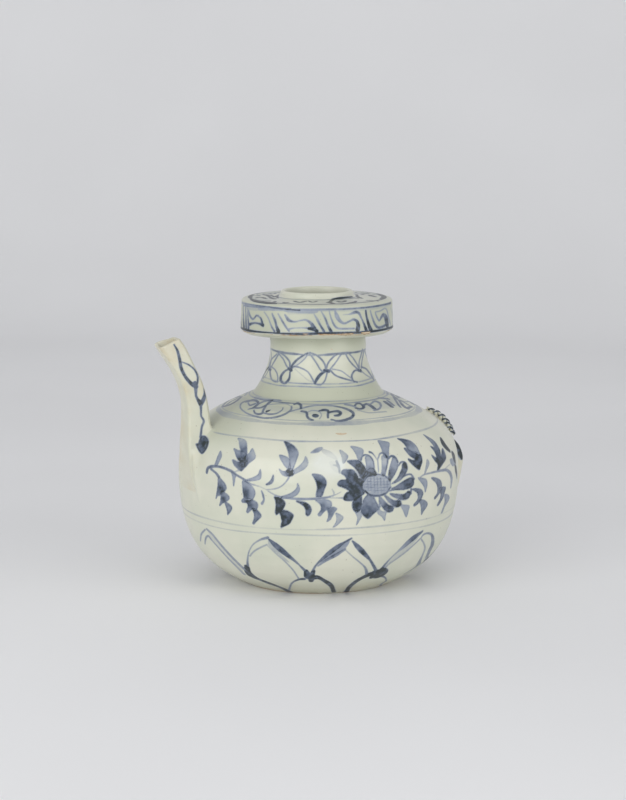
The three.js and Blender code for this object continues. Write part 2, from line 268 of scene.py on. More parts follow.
class Sheet:
    """A surface to paint on, with x and y in millimetres at each of its points.

    line and wash hold the distance to the nearest brush line and wash, negative inside, in
    millimetres, with how dark each is. stain says how much the glaze has stained; another field says
    how much it is greyed, where it has run thick and where shade is painted on it; and bare is the
    distance to clay without glaze.
    """

    def __init__(self, x, y):
        self.x, self.y = x, y
        self.line, self.wash, self.bare = (np.full(x.shape, FAR) for _ in range(3))
        self.line_tone, self.wash_tone, self.stain, self.pooled_and_shade = (np.zeros(x.shape) for _ in range(4))

    def near(self, places, reach):
        """The part of the sheet within reach of some places, its x and y, and the places in x and y."""
        return np.s_[:], self.x, self.y, places

    def lay(self, layer, index, gap, tone):
        """Lays a mark over a part of a layer: the nearer mark wins."""
        field, tones = getattr(self, layer), getattr(self, layer + "_tone", None)
        nearer = gap < field[index]
        if tones is not None:
            both = nearer & (field[index] < 0) if layer == "line" else np.zeros_like(nearer)
            kept = tones[index]
            tones[index] = np.where(nearer, np.where(both, np.maximum(tone, kept), tone), kept)
        field[index] = np.where(nearer, gap, field[index])

    def stroke(self, places, width, tone=0.8, layer="line"):
        """A brush line. Width and tone are one number each, or a few, spread over its length."""
        places = np.asarray(places, float)
        share = np.linspace(0, 1, len(places))
        half = np.interp(share, np.linspace(0, 1, np.size(width)), np.ravel(width)) / 2
        tone = np.interp(share, np.linspace(0, 1, np.size(tone)), np.ravel(tone))
        for k in range(len(places) - 1):
            index, x, y, ends = self.near(places[k:k + 2], max(half[k:k + 2]) + 1.2)
            (px, py), (qx, qy) = ends
            dx, dy = qx - px, qy - py
            t = np.clip(((x - px) * dx + (y - py) * dy) / max(dx * dx + dy * dy, 1e-9), 0, 1)
            gap = np.hypot(x - px - t * dx, y - py - t * dy) - (half[k] + (half[k + 1] - half[k]) * t)
            self.lay(layer, index, gap, tone[k])

    def patch(self, places, tone=0.5, deep=None, deep_tone=0.95, layer="wash"):
        """A filled shape. From deep, a place in it, its tone runs from deep_tone to tone."""
        places = np.asarray(places, float)
        with_deep = places if deep is None else np.concatenate([places, [deep]])
        index, x, y, edge = self.near(with_deep, 1.5)
        ex, ey = edge[:len(places)].T
        inside = np.zeros(x.shape, bool)
        gap = np.full(x.shape, FAR)
        for k in range(len(ex)):
            ax, ay, bx, by = ex[k - 1], ey[k - 1], ex[k], ey[k]
            if ay != by:
                inside ^= ((ay > y) != (by > y)) & (x < ax + (y - ay) * (bx - ax) / (by - ay))
            dx, dy = bx - ax, by - ay
            t = np.clip(((x - ax) * dx + (y - ay) * dy) / max(dx * dx + dy * dy, 1e-9), 0, 1)
            gap = np.minimum(gap, np.hypot(x - ax - t * dx, y - ay - t * dy))
        gap = np.where(inside, -gap, gap)
        if deep is not None:
            cx, cy = edge[-1]
            reach = np.max(np.hypot(ex - cx, ey - cy))
            tone = deep_tone + (tone - deep_tone) * ease(np.hypot(x - cx, y - cy) / reach, 0.1, 0.75)
        self.lay(layer, index, gap, tone)


class Canvas(Sheet):
    """The outside of a turned form as a sheet: rows along its outline, columns round it.

    Its places are an azimuth in radians from the front, growing to the right, and a distance along
    the outline.
    """

    def __init__(self, outline):
        self.outline = np.asarray(outline, float)
        self.radius = self.outline[:, 0]
        self.height = self.outline[:, 1]
        self.along = lengths_along(self.outline)
        self.azimuth = -math.pi + TAU * np.arange(COLUMNS) / COLUMNS
        along = np.repeat(self.along[:, None], COLUMNS, 1)
        super().__init__(self.radius[:, None] * self.azimuth[None], along)

    def along_at(self, height):
        """Distance along the outline at a height."""
        return np.interp(height, self.height, self.along)

    def radius_at(self, along):
        """Radius at a distance along the outline."""
        return np.interp(along, self.along, self.radius)

    def near(self, places, reach):
        a, v = np.asarray(places, float).T
        rows = np.arange(*np.searchsorted(self.along, (v.min() - reach, v.max() + reach)))
        middle = (a.max() + a.min()) / 2
        half = (a.max() - a.min()) / 2 + reach / max(3.0, float(self.radius_at(v).min()))
        step = TAU / COLUMNS
        count = min(COLUMNS // 2 - 1, int(half / step) + 1)
        centre = round((middle + math.pi) / step)
        columns = np.arange(centre - count, centre + count + 1)
        x = (columns * step - math.pi - middle)[None, :] * self.radius[rows][:, None]
        y = np.broadcast_to(self.along[rows][:, None], x.shape)
        return np.ix_(rows, columns % COLUMNS), x, y, np.stack([(a - middle) * self.radius_at(v), v], 1)

    def ring(self, height, width, tone, wave=0.2, beats=3, phase=0.0, layer="line", sag=0.0):
        """A line brushed round the turning pot, a little unsteady, and lower at the front by sag."""
        turn = self.azimuth[None, :]
        drift = wave * (np.sin(beats * turn + phase) + 0.5 * np.sin((2 * beats + 1) * turn + 2 * phase))
        drift = drift - sag * np.cos(turn + 0.45)
        half = width / 2 * (1 + 0.25 * np.sin(5 * turn + phase) + 0.15 * np.sin(17 * turn + 3 * phase))
        middle = self.along_at(height)
        rows = np.flatnonzero(np.abs(self.along - middle) < wave * 1.5 + sag + width + 1)
        gap = np.abs(self.along[rows][:, None] - middle - drift) - half
        depth = tone * (1 + 0.18 * np.sin(4 * turn + 2 * phase) + 0.12 * np.sin(9 * turn + phase)) + 0 * gap
        self.lay(layer, np.ix_(rows, np.arange(COLUMNS)), gap, depth)


BODY = Canvas(np.concatenate([LOWER_LINE, UPPER_LINE[1:], NECK_LINE[1:]]))
BODY_NORMALS = np.gradient(BODY.outline, axis=0)[:, ::-1] * (1, -1)
BODY_NORMALS /= np.linalg.norm(BODY_NORMALS, axis=1)[:, None]
LOWER_ROWS = slice(0, len(LOWER_LINE))
UPPER_ROWS = slice(len(LOWER_LINE) - 1, len(LOWER_LINE) + len(UPPER_LINE) - 1)
NECK_ROWS = slice(len(LOWER_LINE) + len(UPPER_LINE) - 2, len(BODY.outline))
WALL = Canvas(evenly([(FLANGE_RADIUS, PLATE_TOP), (RIM_RADIUS, FLANGE_WALL_TOP)], WALL_STEP))
TOP = Canvas(evenly(smoothly([
    (RIM_RADIUS, FLANGE_WALL_TOP),
    (RIM_RADIUS - 0.45, FLANGE_WALL_TOP + 0.6),
    (RIM_RADIUS - 1.7, FLANGE_WALL_TOP + 1.1),
    (RIM_RADIUS - RIM_BEVEL[0], FLANGE_WALL_TOP + RIM_BEVEL[1]),
    (RIM_RADIUS - RIM_BEVEL[0] - 3, FLANGE_WALL_TOP + RIM_BEVEL[1] + 0.12),
    (LIP_RADIUS + 3, TOP_FOOT - 0.05),
    (LIP_RADIUS + 0.8, TOP_FOOT + 0.25),
    (LIP_RADIUS + 0.1, TOP_FOOT + 0.9),
    (LIP_RADIUS - 0.1, LIP_TOP - 1.1),
    (LIP_RADIUS - 0.6, LIP_TOP - 0.3),
    ((LIP_RADIUS + LIP_OPENING) / 2, LIP_TOP),
    (LIP_OPENING - 0.1, LIP_TOP - 0.35),
    (LIP_OPENING - 0.5, LIP_TOP - 1.4),
], 0.2), WALL_STEP))


def sight_line(pixels):
    """The camera's place and the way to each pixel, in axes turned with the view: right, away, up."""
    tilt = math.radians(VIEW_ELEVATION)
    back, rise = VIEW_DISTANCE * math.cos(tilt), VIEW_DISTANCE * math.sin(tilt)
    eye = np.array([-VIEW_LEFT, -back, VIEW_HEIGHT + rise])
    ahead = np.array([0, math.cos(tilt), -math.sin(tilt)])
    up = np.array([0, math.sin(tilt), math.cos(tilt)])
    x = (pixels[:, 0] - PHOTO_SIZE[0] / 2) / FOCAL_PIXELS
    y = (PHOTO_SIZE[1] / 2 - pixels[:, 1]) / FOCAL_PIXELS
    return eye, ahead + x[:, None] * np.array([1.0, 0, 0]) + y[:, None] * up


def askew(right, z):
    """How far the flange, set on by hand and warped in the kiln, stands right of true, and above it."""
    aside = -FLANGE_ASIDE * ease(z, *ASIDE_FROM)
    sunk = ease(z, *SAG_FROM) * fade(z, *SAG_UNTIL)
    return aside, -sunk * (FLANGE_SAG + right**2 / SAG_ROUNDING - SAG_LEAN * right)


def seen_on(canvas, pixels):
    """Where pixels of the photograph fall on a turned form, as places on its canvas."""
    eye, way = sight_line(np.asarray(pixels, float))
    steps = np.arange(VIEW_DISTANCE - SEARCH_NEARER, VIEW_DISTANCE + SEARCH_FARTHER, SEARCH_STEP)
    points = eye + steps[None, :, None] * way[:, None, :]
    aside, lifted = askew(points[..., 0], points[..., 2])
    points = points - np.stack([aside, 0 * aside, lifted], -1)
    rising = np.maximum.accumulate(canvas.height)
    over = np.hypot(points[..., 0], points[..., 1]) - np.interp(points[..., 2], rising, canvas.radius)
    index = np.where((over <= 0).any(1), (over <= 0).argmax(1), over.argmin(1))
    chosen = points[np.arange(len(points)), index]
    azimuth = np.arctan2(chosen[:, 0], -chosen[:, 1])
    return np.stack([azimuth, np.interp(chosen[:, 2], rising, canvas.along)], 1)


def breadth_on(canvas, pixels, places):
    """How many times wider than it looks each part of a line read in pixels is on the form itself."""
    way = np.gradient(pixels, axis=0) * (1, -1)
    across = np.stack([-way[:, 1], way[:, 0]], 1) / np.maximum(np.hypot(*way.T), 1e-6)[:, None]
    azimuth, along = places.T
    slope = [np.interp(along, canvas.along, np.gradient(k, canvas.along))
             for k in (canvas.radius, canvas.height)]
    tilt = math.radians(VIEW_ELEVATION) - (PHOTO_SIZE[1] / 2 - pixels[:, 1]) / FOCAL_PIXELS
    round_it = across[:, 0] * np.cos(azimuth) + across[:, 1] * np.sin(azimuth) * np.sin(tilt)
    up_it = across[:, 0] * slope[0] * np.sin(azimuth) \
        + across[:, 1] * (slope[1] * np.cos(tilt) - slope[0] * np.cos(azimuth) * np.sin(tilt))
    return 1 / np.clip(np.hypot(round_it, up_it), LEAST_SEEN, 1)


def in_photo(points):
    """Where points of the vessel lie in the photograph, in pixels."""
    turn, tilt = math.radians(VIEW_AZIMUTH), math.radians(VIEW_ELEVATION)
    right = points[..., 0] * math.cos(turn) + points[..., 1] * math.sin(turn) + VIEW_LEFT
    away = -points[..., 0] * math.sin(turn) + points[..., 1] * math.cos(turn)
    up = points[..., 2] - VIEW_HEIGHT
    depth = VIEW_DISTANCE + away * math.cos(tilt) - up * math.sin(tilt)
    rise = away * math.sin(tilt) + up * math.cos(tilt)
    return PHOTO_SIZE[0] / 2 + FOCAL_PIXELS * right / depth, PHOTO_SIZE[1] / 2 - FOCAL_PIXELS * rise / depth


def read(text):
    """Places read from plain text."""
    return np.array([[float(n) for n in pair.split(",")] for pair in text.split()])


# Brushwork read off the photograph in pixels. Each line has its width and tone along it, and each
# shape its tone, the tone of its edge, and where the cobalt has heaped.
FLORAL_LINES = (
    ((2.4, 2.8, 2.2, 2.4, 2.6, 1.8, 2), (0.9, 0.85, 0.7, 0.8), "207,472 208,468 212,466.5 218,466.5 "
     "224,468 231,471 236,474.5 241,477.5 245,480"),
    ((2, 1.2, 0.9, 1), (0.7, 0.4, 0.35), "245,481 251,484 258,486 265,489 271,492.5"),
    ((1.1, 1.6, 2.2, 2.2, 2, 1.6), (0.45, 0.6, 0.75, 0.7), "268,491 274,494.5 280,496.7 290,498.3 300,499 "
     "310,499 320,498.3 330,497"),
    ((1.6, 1, 0.8), (0.6, 0.4), "328,497.2 336,494.5 341,492"),
    ((1, 1), 0.4, "330,498 340,497.8 345,497"),
    ((1, 1.3, 1.3, 1.8), (0.45, 0.6), "266,489.5 272,489.3 279,487.5 284,484 288,479 289.5,475.5"),
    ((2, 2, 2.6), (0.8, 0.7), "211,469 216,473 219,477"),
    ((1, 1.2, 1.8), (0.4, 0.5), "233,472 237,471 241,470"),
    ((1.2, 2, 1.6, 2.6), (0.8, 0.75), "261.5,491 263,495 263.8,500 262,503.5"),
    ((1, 1.6, 1.8, 2.4, 3, 2.6, 1.2), (0.5, 0.65, 0.7, 0.6), "420,477 424,474.5 430,473 436,471.5 "
     "442,470.3 446,470 449.5,473 451,478 451,484 450.3,487"),
    ((1.5, 2, 1), 0.6, "437,471 439,468 440,464"),
    ((1, 1, 0.8), 0.35, "443,470 447,466.5 451,463"),
    ((1.6, 2, 1.2), 0.7, "333.5,465 338,466.5 339.5,473"),
    ((0.8, 1.6, 0.8), 0.45, "332,489 334,493 333,496.5"),
    ((2.2, 2.4, 1.8), 0.8, "336.5,461 338.5,466 339.5,471"),
)
FLORAL_SHAPES = (
    (0.55, 0.7, None, "215,465 217,459 220.5,451 221.6,456 219,462 216.6,466.5"),
    (0.5, 0.65, None, "230.5,470.5 232.3,475 233,480 233.7,486 235,479 236,474"),
    (0.64, 0.76, "221,490", "218.5,476.5 222,480 225.5,484.5 226.4,488.5 223.8,492 220,495.5 218,495.5 "
     "216,498.5 217,492 218,484"),
    (0.64, 0.74, "223,499", "222,491.5 228,495 229.3,498.5 227,501 224.5,502.5 222.5,503 219.7,505.7 "
     "220.8,500 221,495.5"),
    (0.7, 0.8, None, "224.8,502 229.5,504.3 232,507.5 230.8,511 228.5,513.8 227.6,514.8 227.5,511 "
     "226.3,507"),
    (0.42, 0.6, "243,452", "238,438.3 242,438.8 245.8,441 246.9,446 247,453 246.5,458 242,458 241,452 "
     "239.7,446 239.3,441"),
    (0.55, 0.75, "243,460", "234,448.5 238,450.5 243,451.5 247,455 247,461 240,461.5 236.8,457 235.3,452"),
    (0.4, 0.6, "246,463", "252.5,448.5 255,454 255.4,457.5 252.5,460.5 249,463 245.5,466.5 245,457 "
     "249.5,453 251,450.5"),
    (0.66, 0.76, "242.5,465", "232.3,460 235,460.4 238,462 242,460.5 247,460.5 246.5,465.5 244,468.5 "
     "241,471 238,468.8 234.5,465"),
    (0.5, 0.65, None, "245,480.3 250,480.8 256,480.2 260,479 261.2,475 260.3,469.5 258.7,474 255.5,476.5 "
     "250.5,478.6"),
    (0.55, 0.75, "245,493", "243,480.5 248,483 252.5,487 254.9,491.5 254.3,496 251.5,500 246,501 244,499 "
     "243.2,493 242.6,487"),
    (0.68, 0.76, "249,503", "244,498.5 250,498.6 254,500.6 257.5,503.5 257.2,508 255,510.7 251.5,509.5 "
     "248,512.8 246.6,511.5 248,506 246.5,502.8 242.3,502.2 242,500"),
    (0.75, 0.85, None, "252,508.5 255.5,509.2 259,512 261.2,516 259,518.7 256.5,521 254,524 252.7,523.2 "
     "254,519 254.3,514"),
    (0.7, 0.8, None, "273.3,475 273.6,479 272,483 268,484.7 266,484.5 270,481.5 272,478"),
    (0.45, 0.72, "287,445", "284,441 289,442.8 294,446 297.5,450.5 298.2,454 296.3,460 294,466 292,471 "
     "288,470 290,462 289,455 287,448"),
    (0.5, 0.7, None, "279.7,455 284,456 288,458 290,462 290,470 286,467 282.5,462 280.3,457.8"),
    (0.42, 0.55, None, "305.6,456.5 307.8,461 307.5,464.7 304.5,468.6 300,471.2 294,474 292,471 297,468 "
     "301.5,464 304.5,460"),
    (0.5, 0.65, "290,472.5", "279.3,469 282,471 286,471.5 289,470 292,473 288,476 285,476 281.5,473.6"),
    (0.97, 0.97, None, "285.7,472 287.5,469.5 290.5,468.5 293.3,470 294.2,473 292,475.8 288.5,475.8 "
     "286.5,474"),
    (0.5, 0.7, None, "281,497 289,494.3 294,491.3 297,488 297.6,483.5 299.4,488 298.9,491.7 296,495.2 "
     "291,497.4 286,498.6"),
    (0.97, 0.97, None, "274.2,496.8 277.5,497.3 281.5,498.8 285,502.5 284.2,506.5 282,510 279.8,511.5 "
     "278.2,513.2 276.3,514.8 275.3,512 276,506 275.5,501"),
    (0.95, 0.97, "283,518", "278.5,511 283,510.3 288,511.3 293.2,515 291.7,519.5 289,523.7 284.5,526 "
     "281,527.3 281.8,522 281,516.5 279.3,513"),
    (0.85, 0.92, "305,507", "296.3,501.3 302,501.8 307,503.3 310.6,507 311.2,510.5 309.8,514.2 307.5,516 "
     "305.8,514 305.7,510.5 304,506.5 300,503.5"),
    (0.78, 0.88, "318,484", "312.3,474.2 317,474.3 322,475.8 325.6,480 326.2,484 324,490 321.5,496.3 "
     "317,496.8 316.2,495 317.3,488 316,481.5 314,477.5"),
    (0.5, 0.7, "321,508", "315.5,500.3 320,500 326,499.8 331,501.8 331.3,506 329,508.3 325.5,510.3 "
     "322.5,513.3 320,516 318,514.6 321,510 320.8,505.5 318.5,502.7"),
    (0.55, 0.65, "330,512", "326.5,508 331,506.8 336.7,508.5 334.5,512.3 332,516.7 330,519.8 327,521.6 "
     "328.5,517 328,512"),
    (0.4, 0.6, None, "336,513.3 340,514.8 343.2,517.5 341,521.2 337.5,524.7 333.2,527.4 336.5,522 "
     "336.8,517"),
    (0.38, 0.5, "316,451", "310.8,452.8 314,450 318,447.8 322.5,447.8 318.5,452 314.5,452.8"),
    (0.3, 0, None, "321,448.6 326,449.4 331,451.5 335.5,455.5 337.5,460 332,458.5 326,455.5 322,452.5"),
    (0.22, 0, None, "329,462 334,461 339,464 341,470 337,473 332,469"),
    (0.4, 0.55, None, "339.7,450.2 344,452.3 347.7,456 346.2,460 343,463.5 342,457"),
    (0.45, 0.7, "404,440", "397.3,438.5 403,438.9 410,440.8 415,444.8 418,449.8 419.5,455 412,452 408,449 "
     "404,444 401,441.2"),
    (0.72, 0.84, "418,462", "412,451 419.5,453.5 422,460 420.2,467 419,469.8 414,466.2 409,461 408.3,458.7 "
     "412.5,460.3 415,459.5 409,455 404,448.3 408,449"),
    (0.66, 0.8, "440,461", "423.3,434.5 429,437.6 434.5,441.6 438,446.6 440,451.8 440.8,457.5 442,448.5 "
     "445,454 445.4,458.5 442.7,463.3 440,467.3 437,470.5 437.3,464.6 434,460.2 431.3,455 435,457.3 "
     "436.3,456.8 433.8,451 430.2,446.2 434,447.3 430.5,442 426.5,438"),
    (0.4, 0.5, None, "427,459.3 428.9,463 427.2,468 424.3,474.3 425.8,466"),
    (0.5, 0.7, None, "417.8,477.8 422,478.3 425.7,479.3 427,483 426.2,488 425,492 424,487 421.3,482.5"),
    (0.7, 0.85, None, "412,489 417,488.6 421.2,489.8 422.9,493 421.6,497.2 419.5,501.2 417,504.3 414.3,506 "
     "413.8,504.5 417,500.5 418,497 417,492.5 414,490.5"),
    (0.65, 0.85, None, "419,500 424,500.3 427.3,503.5 425.7,507.7 423.2,511.3 421.4,514.5 421.2,508 "
     "420.3,503.7"),
    (0.7, 0.85, None, "431,477.8 436,478.2 440.2,480.8 441.5,486 440.6,490.2 438,494.7 435,498.8 434,497.7 "
     "437,493 437.2,487 435,482"),
    (0.75, 0.85, None, "439.5,488 445.2,487.2 444.2,492 443,497.2 441,500.8 438,505.3 436.7,505 439.8,499 "
     "440.3,494"),
    (0.55, 0.7, None, "444.3,494.8 447.5,494.7 449.2,497.5 447.2,502 444.7,506.2 442.5,512 440.8,513.2 "
     "443,507 444.5,501"),
    (0.5, 0.6, None, "449.5,459.5 452.5,459 455,463.5 452.5,466 450.5,463.5"),
)
FLOWER_SHAPES = (
    (0.45, 0.6, None, "350.7,446.3 357,447 362,448.8 363.2,452 360.7,458 358.5,460 356.5,455 353.5,450"),
    (0.55, 0.7, None, "378,440.5 383,441.2 388.9,442.8 388.5,449 388.2,457.5 384,457 382.3,451 "
     "380.3,445.5"),
    (0.45, 0.6, None, "400.5,505 405,505.2 409.2,505.8 408.2,511 406.3,517 403.3,510.5"),
    (0.4, 0.6, None, "378,509.5 383,512 386,512.5 385.5,516 384.7,520.5 382,516.5 378,513.5"),
    (0.4, 0.55, None, "355.5,511.5 360.5,512 361.5,516 359,521 356.5,525 357.8,518.5"),
    (0.84, 0.93, "355,487", "337.8,483.3 341,480.2 346.5,479.8 345,476 341.3,473 343.5,469.8 349,469.6 "
     "353,470 357,474.5 358.6,478 362,478.4 364,475 366.5,471 371,468 375,470.5 376.5,475 371,476.5 "
     "366,477.5 363.2,481 362.7,488 364.3,493 361.5,495.5 358.5,497.6 354,500.4 348,500.8 344,499.6 "
     "344.8,495 347,492.6 349.5,491.3 346,488.8 342,487 338.5,485.8"),
    (0.8, 0.88, "361,467", "347.3,461.2 352,460.3 359,460.6 362.7,464 366,469 367.2,474.5 361,477.5 "
     "358,472 354,467 350.3,464"),
    (0.84, 0.9, "357,506", "358.5,497 353.5,500.8 352.3,506 354.3,511 358,512.2 361,508.5 361.8,501 "
     "361.5,496.5"),
    (0.66, 0.76, "368,515", "364.5,498.5 362,505 360.8,510 362.5,514.3 368,518.6 373,514.3 377.5,510.5 "
     "379.5,509 377.8,505 375.5,501 372.5,496.7 368.5,494.8 366.5,496"),
    (0.62, 0.74, "388,509", "379.6,496.5 383.5,500 388,504.5 393.5,507 392.3,511.2 387,512 383,508 "
     "380.3,502.5"),
    (0.64, 0.74, "399,504", "384.5,495 389,497.5 394,500.5 400,500.3 401.3,505 396,507.3 390.3,503.3 "
     "386.5,499"),
    (0.64, 0.76, "408,494", "390,493.5 396,494 404,494.2 408,491 410.7,492.5 408.2,498.2 402,499.8 "
     "395,497.4 391.5,495.5"),
    (0.7, 0.8, "410,482", "391.5,488.5 396,486.3 402,482 408,478.5 411.8,477.3 413.5,480 413.4,484.5 "
     "409,488.3 400,489.7 393,489.6"),
    (0.7, 0.8, "403,467", "392,483.5 397.5,478 401.5,469 402,464.5 404.8,461.8 407.2,466 406.2,472.5 "
     "401,479.3 395,482.7"),
    (0.6, 0.75, "389,478", "388,479.5 389,470 391.8,461 393.3,457 397,461.8 397.8,466 395,473.5 "
     "391.5,479.3 389.5,481.3"),
    (0.4, 0.55, "385,474", "382,456 386,458 387.6,462.5 386.3,470 384.5,476.5 381.5,474.5 382,466"),
    (0.42, 0.65, "372,472", "365.5,457 369.8,456.6 372.8,461 374.2,467 374,472.5 367.5,471.5 366.3,464"),
    (0.42, 0.6, None, "363.3,483 365,478.8 370,475.8 377,474.5 384,475.8 389,479.5 390.6,485 388.7,490 "
     "383,493.6 376,495.3 369,493.8 364.7,489.5"),
)
FLOWER_LINES = (
    ((1.6, 1.4, 1.4, 1.2), 0.75, "361,460 362,456.5 365,454.8 369.5,456 372.8,460.5 374.3,467"),
    ((1.8, 1, 0.8), (0.75, 0.4), "369.5,452 372,453 375,456.5 377,460"),
    ((1, 1.3, 1), 0.5, "377.5,458 378,464 378.5,472"),
    ((1.2, 1.8, 1.6, 1.2), (0.55, 0.8, 0.7), "378.3,458 380,453.8 383.5,453 386.5,456.5 387.5,462 386,470"),
    ((1.4, 2.2, 1.6), 0.8, "388.3,459 391,456 394.8,457.3 397.8,462"),
    ((1.4, 1.8, 1.2), 0.8, "398.5,465.5 401,462.2 404.6,461.9"),
    ((1.2, 1.6, 1.6, 1.8), 0.75, "402,477.5 406.5,474.8 411,474.5 413.8,479"),
    ((1.4, 1.6), 0.7, "411,489 410.8,493.5"),
    ((1.2, 1.4, 1.2), 0.7, "388.5,491 396,489.5 404,489.5"),
    ((1.2, 1.4), 0.65, "373.5,497 376,502 378.2,507"),
    ((1, 1.3), 0.7, "379.3,496.5 379.4,502 380,507"),
    ((1.8, 1.4, 1.4, 1.8), 0.75, "363.3,482 368,476.5 376,474.3 385,476 390,481"),
    ((1.8, 2, 2, 1.4), (0.9, 0.8, 0.8), "364,490 370,494.8 378,495.7 386,493 390.7,487"),
    ((1, 1, 0.9), 0.5, "345,500 341,498 333,498"),
)
SEED_LINES = tuple(
    ((0.7, 0.7), 0.68, f"{x},{477.2 + 0.03 * (x - 376) ** 2} {x + 0.8},{492.8 - 0.03 * (x - 376) ** 2}")
    for x in (367.5, 370.7, 374, 377.2, 380.5, 383.8, 387)
) + tuple(
    ((0.7, 0.7), 0.66, f"{365 + abs(y - 485) * 0.3},{y} 377,{y + 0.5} {389 - abs(y - 485) * 0.3},{y}")
    for y in (478.5, 481.3, 484.2, 487.2, 490.2)
)
RIDGE_SIDE_LINES = (
    ((2, 3.8, 3.4, 2), 1.0, "441,439 444,445 449.5,451"),
    ((1.8, 3.6, 3, 1.8), 1.0, "451.7,453 453.7,457.5 454.8,461.5"),
    ((1.6, 3, 2.6, 1.4), (1.0, 0.9), "454.4,466 455.8,471.5 456.6,477.4"),
)
ROPE_DASHES = (
    "428.5,409.6 431,408.6 434,409", "434.6,411.8 438,410.9 441.5,411.6", "438.8,415.4 442.5,414.6 "
     "446.5,415.6",
    "442,419.2 446,418.8 450,420.6", "444.6,423 449,422.8 453.2,425.4", "447.6,427.2 451,427.4 455,430.4",
    "450.4,431.6 453,431.9 456.2,434.8",
)
PETAL_LINES = {
    "far_left": (
        ((1, 1.8, 1.6), 0.6, "200.5,541 201.5,534 205.3,529.5"),
        ((1.6, 1.8, 2, 2), 0.6, "207,529.3 213,535 222,546 232,557 240,565 246.5,571"),
        ((1, 2, 1.4), 0.7, "205,544 205.8,538.5 208.3,535.8 211,539"),
        ((1.3, 1.3, 1.4, 1.8), 0.55, "211,539 218,547 228,558 238,568 244,574"),
    ),
    "left": (
        ((3, 2, 1.2, 1.2, 1.6, 2.6), (0.9, 0.6, 0.5, 0.8), "248.5,571 247.7,563 248.2,555.5 250,549.5 "
         "254,543.7 261,539.5 267.8,537.6"),
        ((1.8, 4.6, 5.4, 4, 2.4, 1.4, 2.6), (0.9, 0.97, 0.95, 0.75, 0.85), "269,539.5 277,546.5 286,554 "
         "296,562 305,570.5"),
        ((1.6, 1.6, 1.6), 0.5, "250,556 254.5,551 262,546.8 267,544.6"),
        ((1, 1.4, 1.4, 1.4), (0.4, 0.45, 0.6), "268,546 276,553.5 285,561.5 293,570 299,579"),
    ),
    "right": (
        ((2.2, 1.6, 3.2, 4.4, 4, 1.8, 1.6), (0.85, 0.8, 0.95, 0.9), "313,570.5 316,565.3 321,560.3 "
         "330,552.6 340,545.2 351.5,538.5"),
        ((1.4, 2.6, 3.2, 2), (0.6, 0.8, 0.7), "318,566 326,560.3 336,555 345,549.3"),
        ((1.4, 4.4, 5.2, 4, 2.2, 2.8, 3.2), (0.85, 0.97, 0.85, 0.95), "352.5,541 358,547 365,554.3 370,560 "
         "373.7,566 376.5,571.5"),
        ((1.1, 1.3, 1.4, 3.4), (0.45, 0.5, 0.9), "345,549.5 352,556 360,562.5 365.3,568 367,575"),
    ),
    "far_right": (
        ((2.2, 1.4, 1.6, 3.6, 4.2, 1.6), (0.85, 0.5, 0.6, 0.95, 0.8), "382,568.5 386,563.3 393,556 402,548 "
         "411,540 422.5,531.3"),
        ((1.6, 1.3, 1.4, 1.2), 0.5, "383,570 389,564 400,556.3 411,547.3 420,538.7"),
        ((1.2, 1.8, 3, 3.6, 2.6, 2), (0.5, 0.8, 0.85, 0.6), "421,538 423,535 427,533.2 431,534.3 432.6,539 "
         "431.5,546 428,554 425.2,561"),
        ((1.4, 1.8, 1.4, 3), (0.6, 0.5, 0.85), "421,539 424,544 424.4,550 421,558 418,564.5"),
    ),
}
PETAL_WASHES = {
    "far_left": ((0.2, "208,531 215,538.5 225,550.5 235,561.5 243,569 242,571 230,559.5 219,547.5 "
     "211,538"),),
    "left": (
        (0.3, "268.5,540 273,546 281,554 290,562.5 285,560.5 277,553.5 268.5,545.5"),
    ),
    "right": (
        (0.5, "320,562 330,553.5 341,546 350,540.5 345.5,548.5 336,554.8 326,560.3"),
    ),
    "far_right": (
        (0.24, "385,566.5 393,557.5 403,548.5 413,540.3 420,535 411,546.5 400,555.5 389,563.5"),
    ),
}
JOINT_LINES = {
    "left": (
        ((5, 6, 5), 0.97, "247,567 248,571.5 250,575"),
        ((4, 2, 2.6, 2, 2.6), 0.92, "250,574 254,577 262,580.5 272,584.3 282,588 290,592"),
    ),
    "middle": (
        ((4, 6.5, 8, 4.5), 0.95, "306,571 308,575 311,577.5 311,581"),
        ((3.5, 6), 0.95, "313.5,571 311,577"),
        ((2, 1.4, 2), (0.9, 0.6), "304,579 299,579.5 292,583 289,590"),
        ((4, 2.8, 4, 4), 0.97, "314,577.5 318,577.5 324,580.5 331,585.5 334,592"),
    ),
    "right": (
        ((5, 7.5, 8, 4), 0.97, "374,573.5 377,573 380,573.5 382,569"),
        ((4, 5), 0.95, "372.5,577 375,574"),
        ((4, 3, 2.6, 3.4), 0.95, "346,592 350,586.5 356,581.5 363,577.5 370,574.3"),
        ((2, 1.4, 1.4, 2.4), (0.8, 0.55), "381,576 385,577.5 386,581 381.5,584 379,589"),
    ),
    "far_right": (
        ((2.6, 3.6, 3), 0.95, "426,559 424.7,561.5 423.5,563"),
        ((1, 1.6, 3), 0.7, "404,574 412,569.5 418,565"),
    ),
}
PETALS = (
    ("far_left", 0, ()),
    ("left", 0, ("left",)),
    ("right", 0, ("middle", "right")),
    ("far_right", 0, ("far_right",)),
    ("left", 109, ("left",)),
    ("right", 109, ("middle",)),
    ("left", 181, ("left",)),
    ("right", 181, ("middle",)),
    ("left", 253, ("left",)),
    ("right", 253, ("middle", "right")),
)
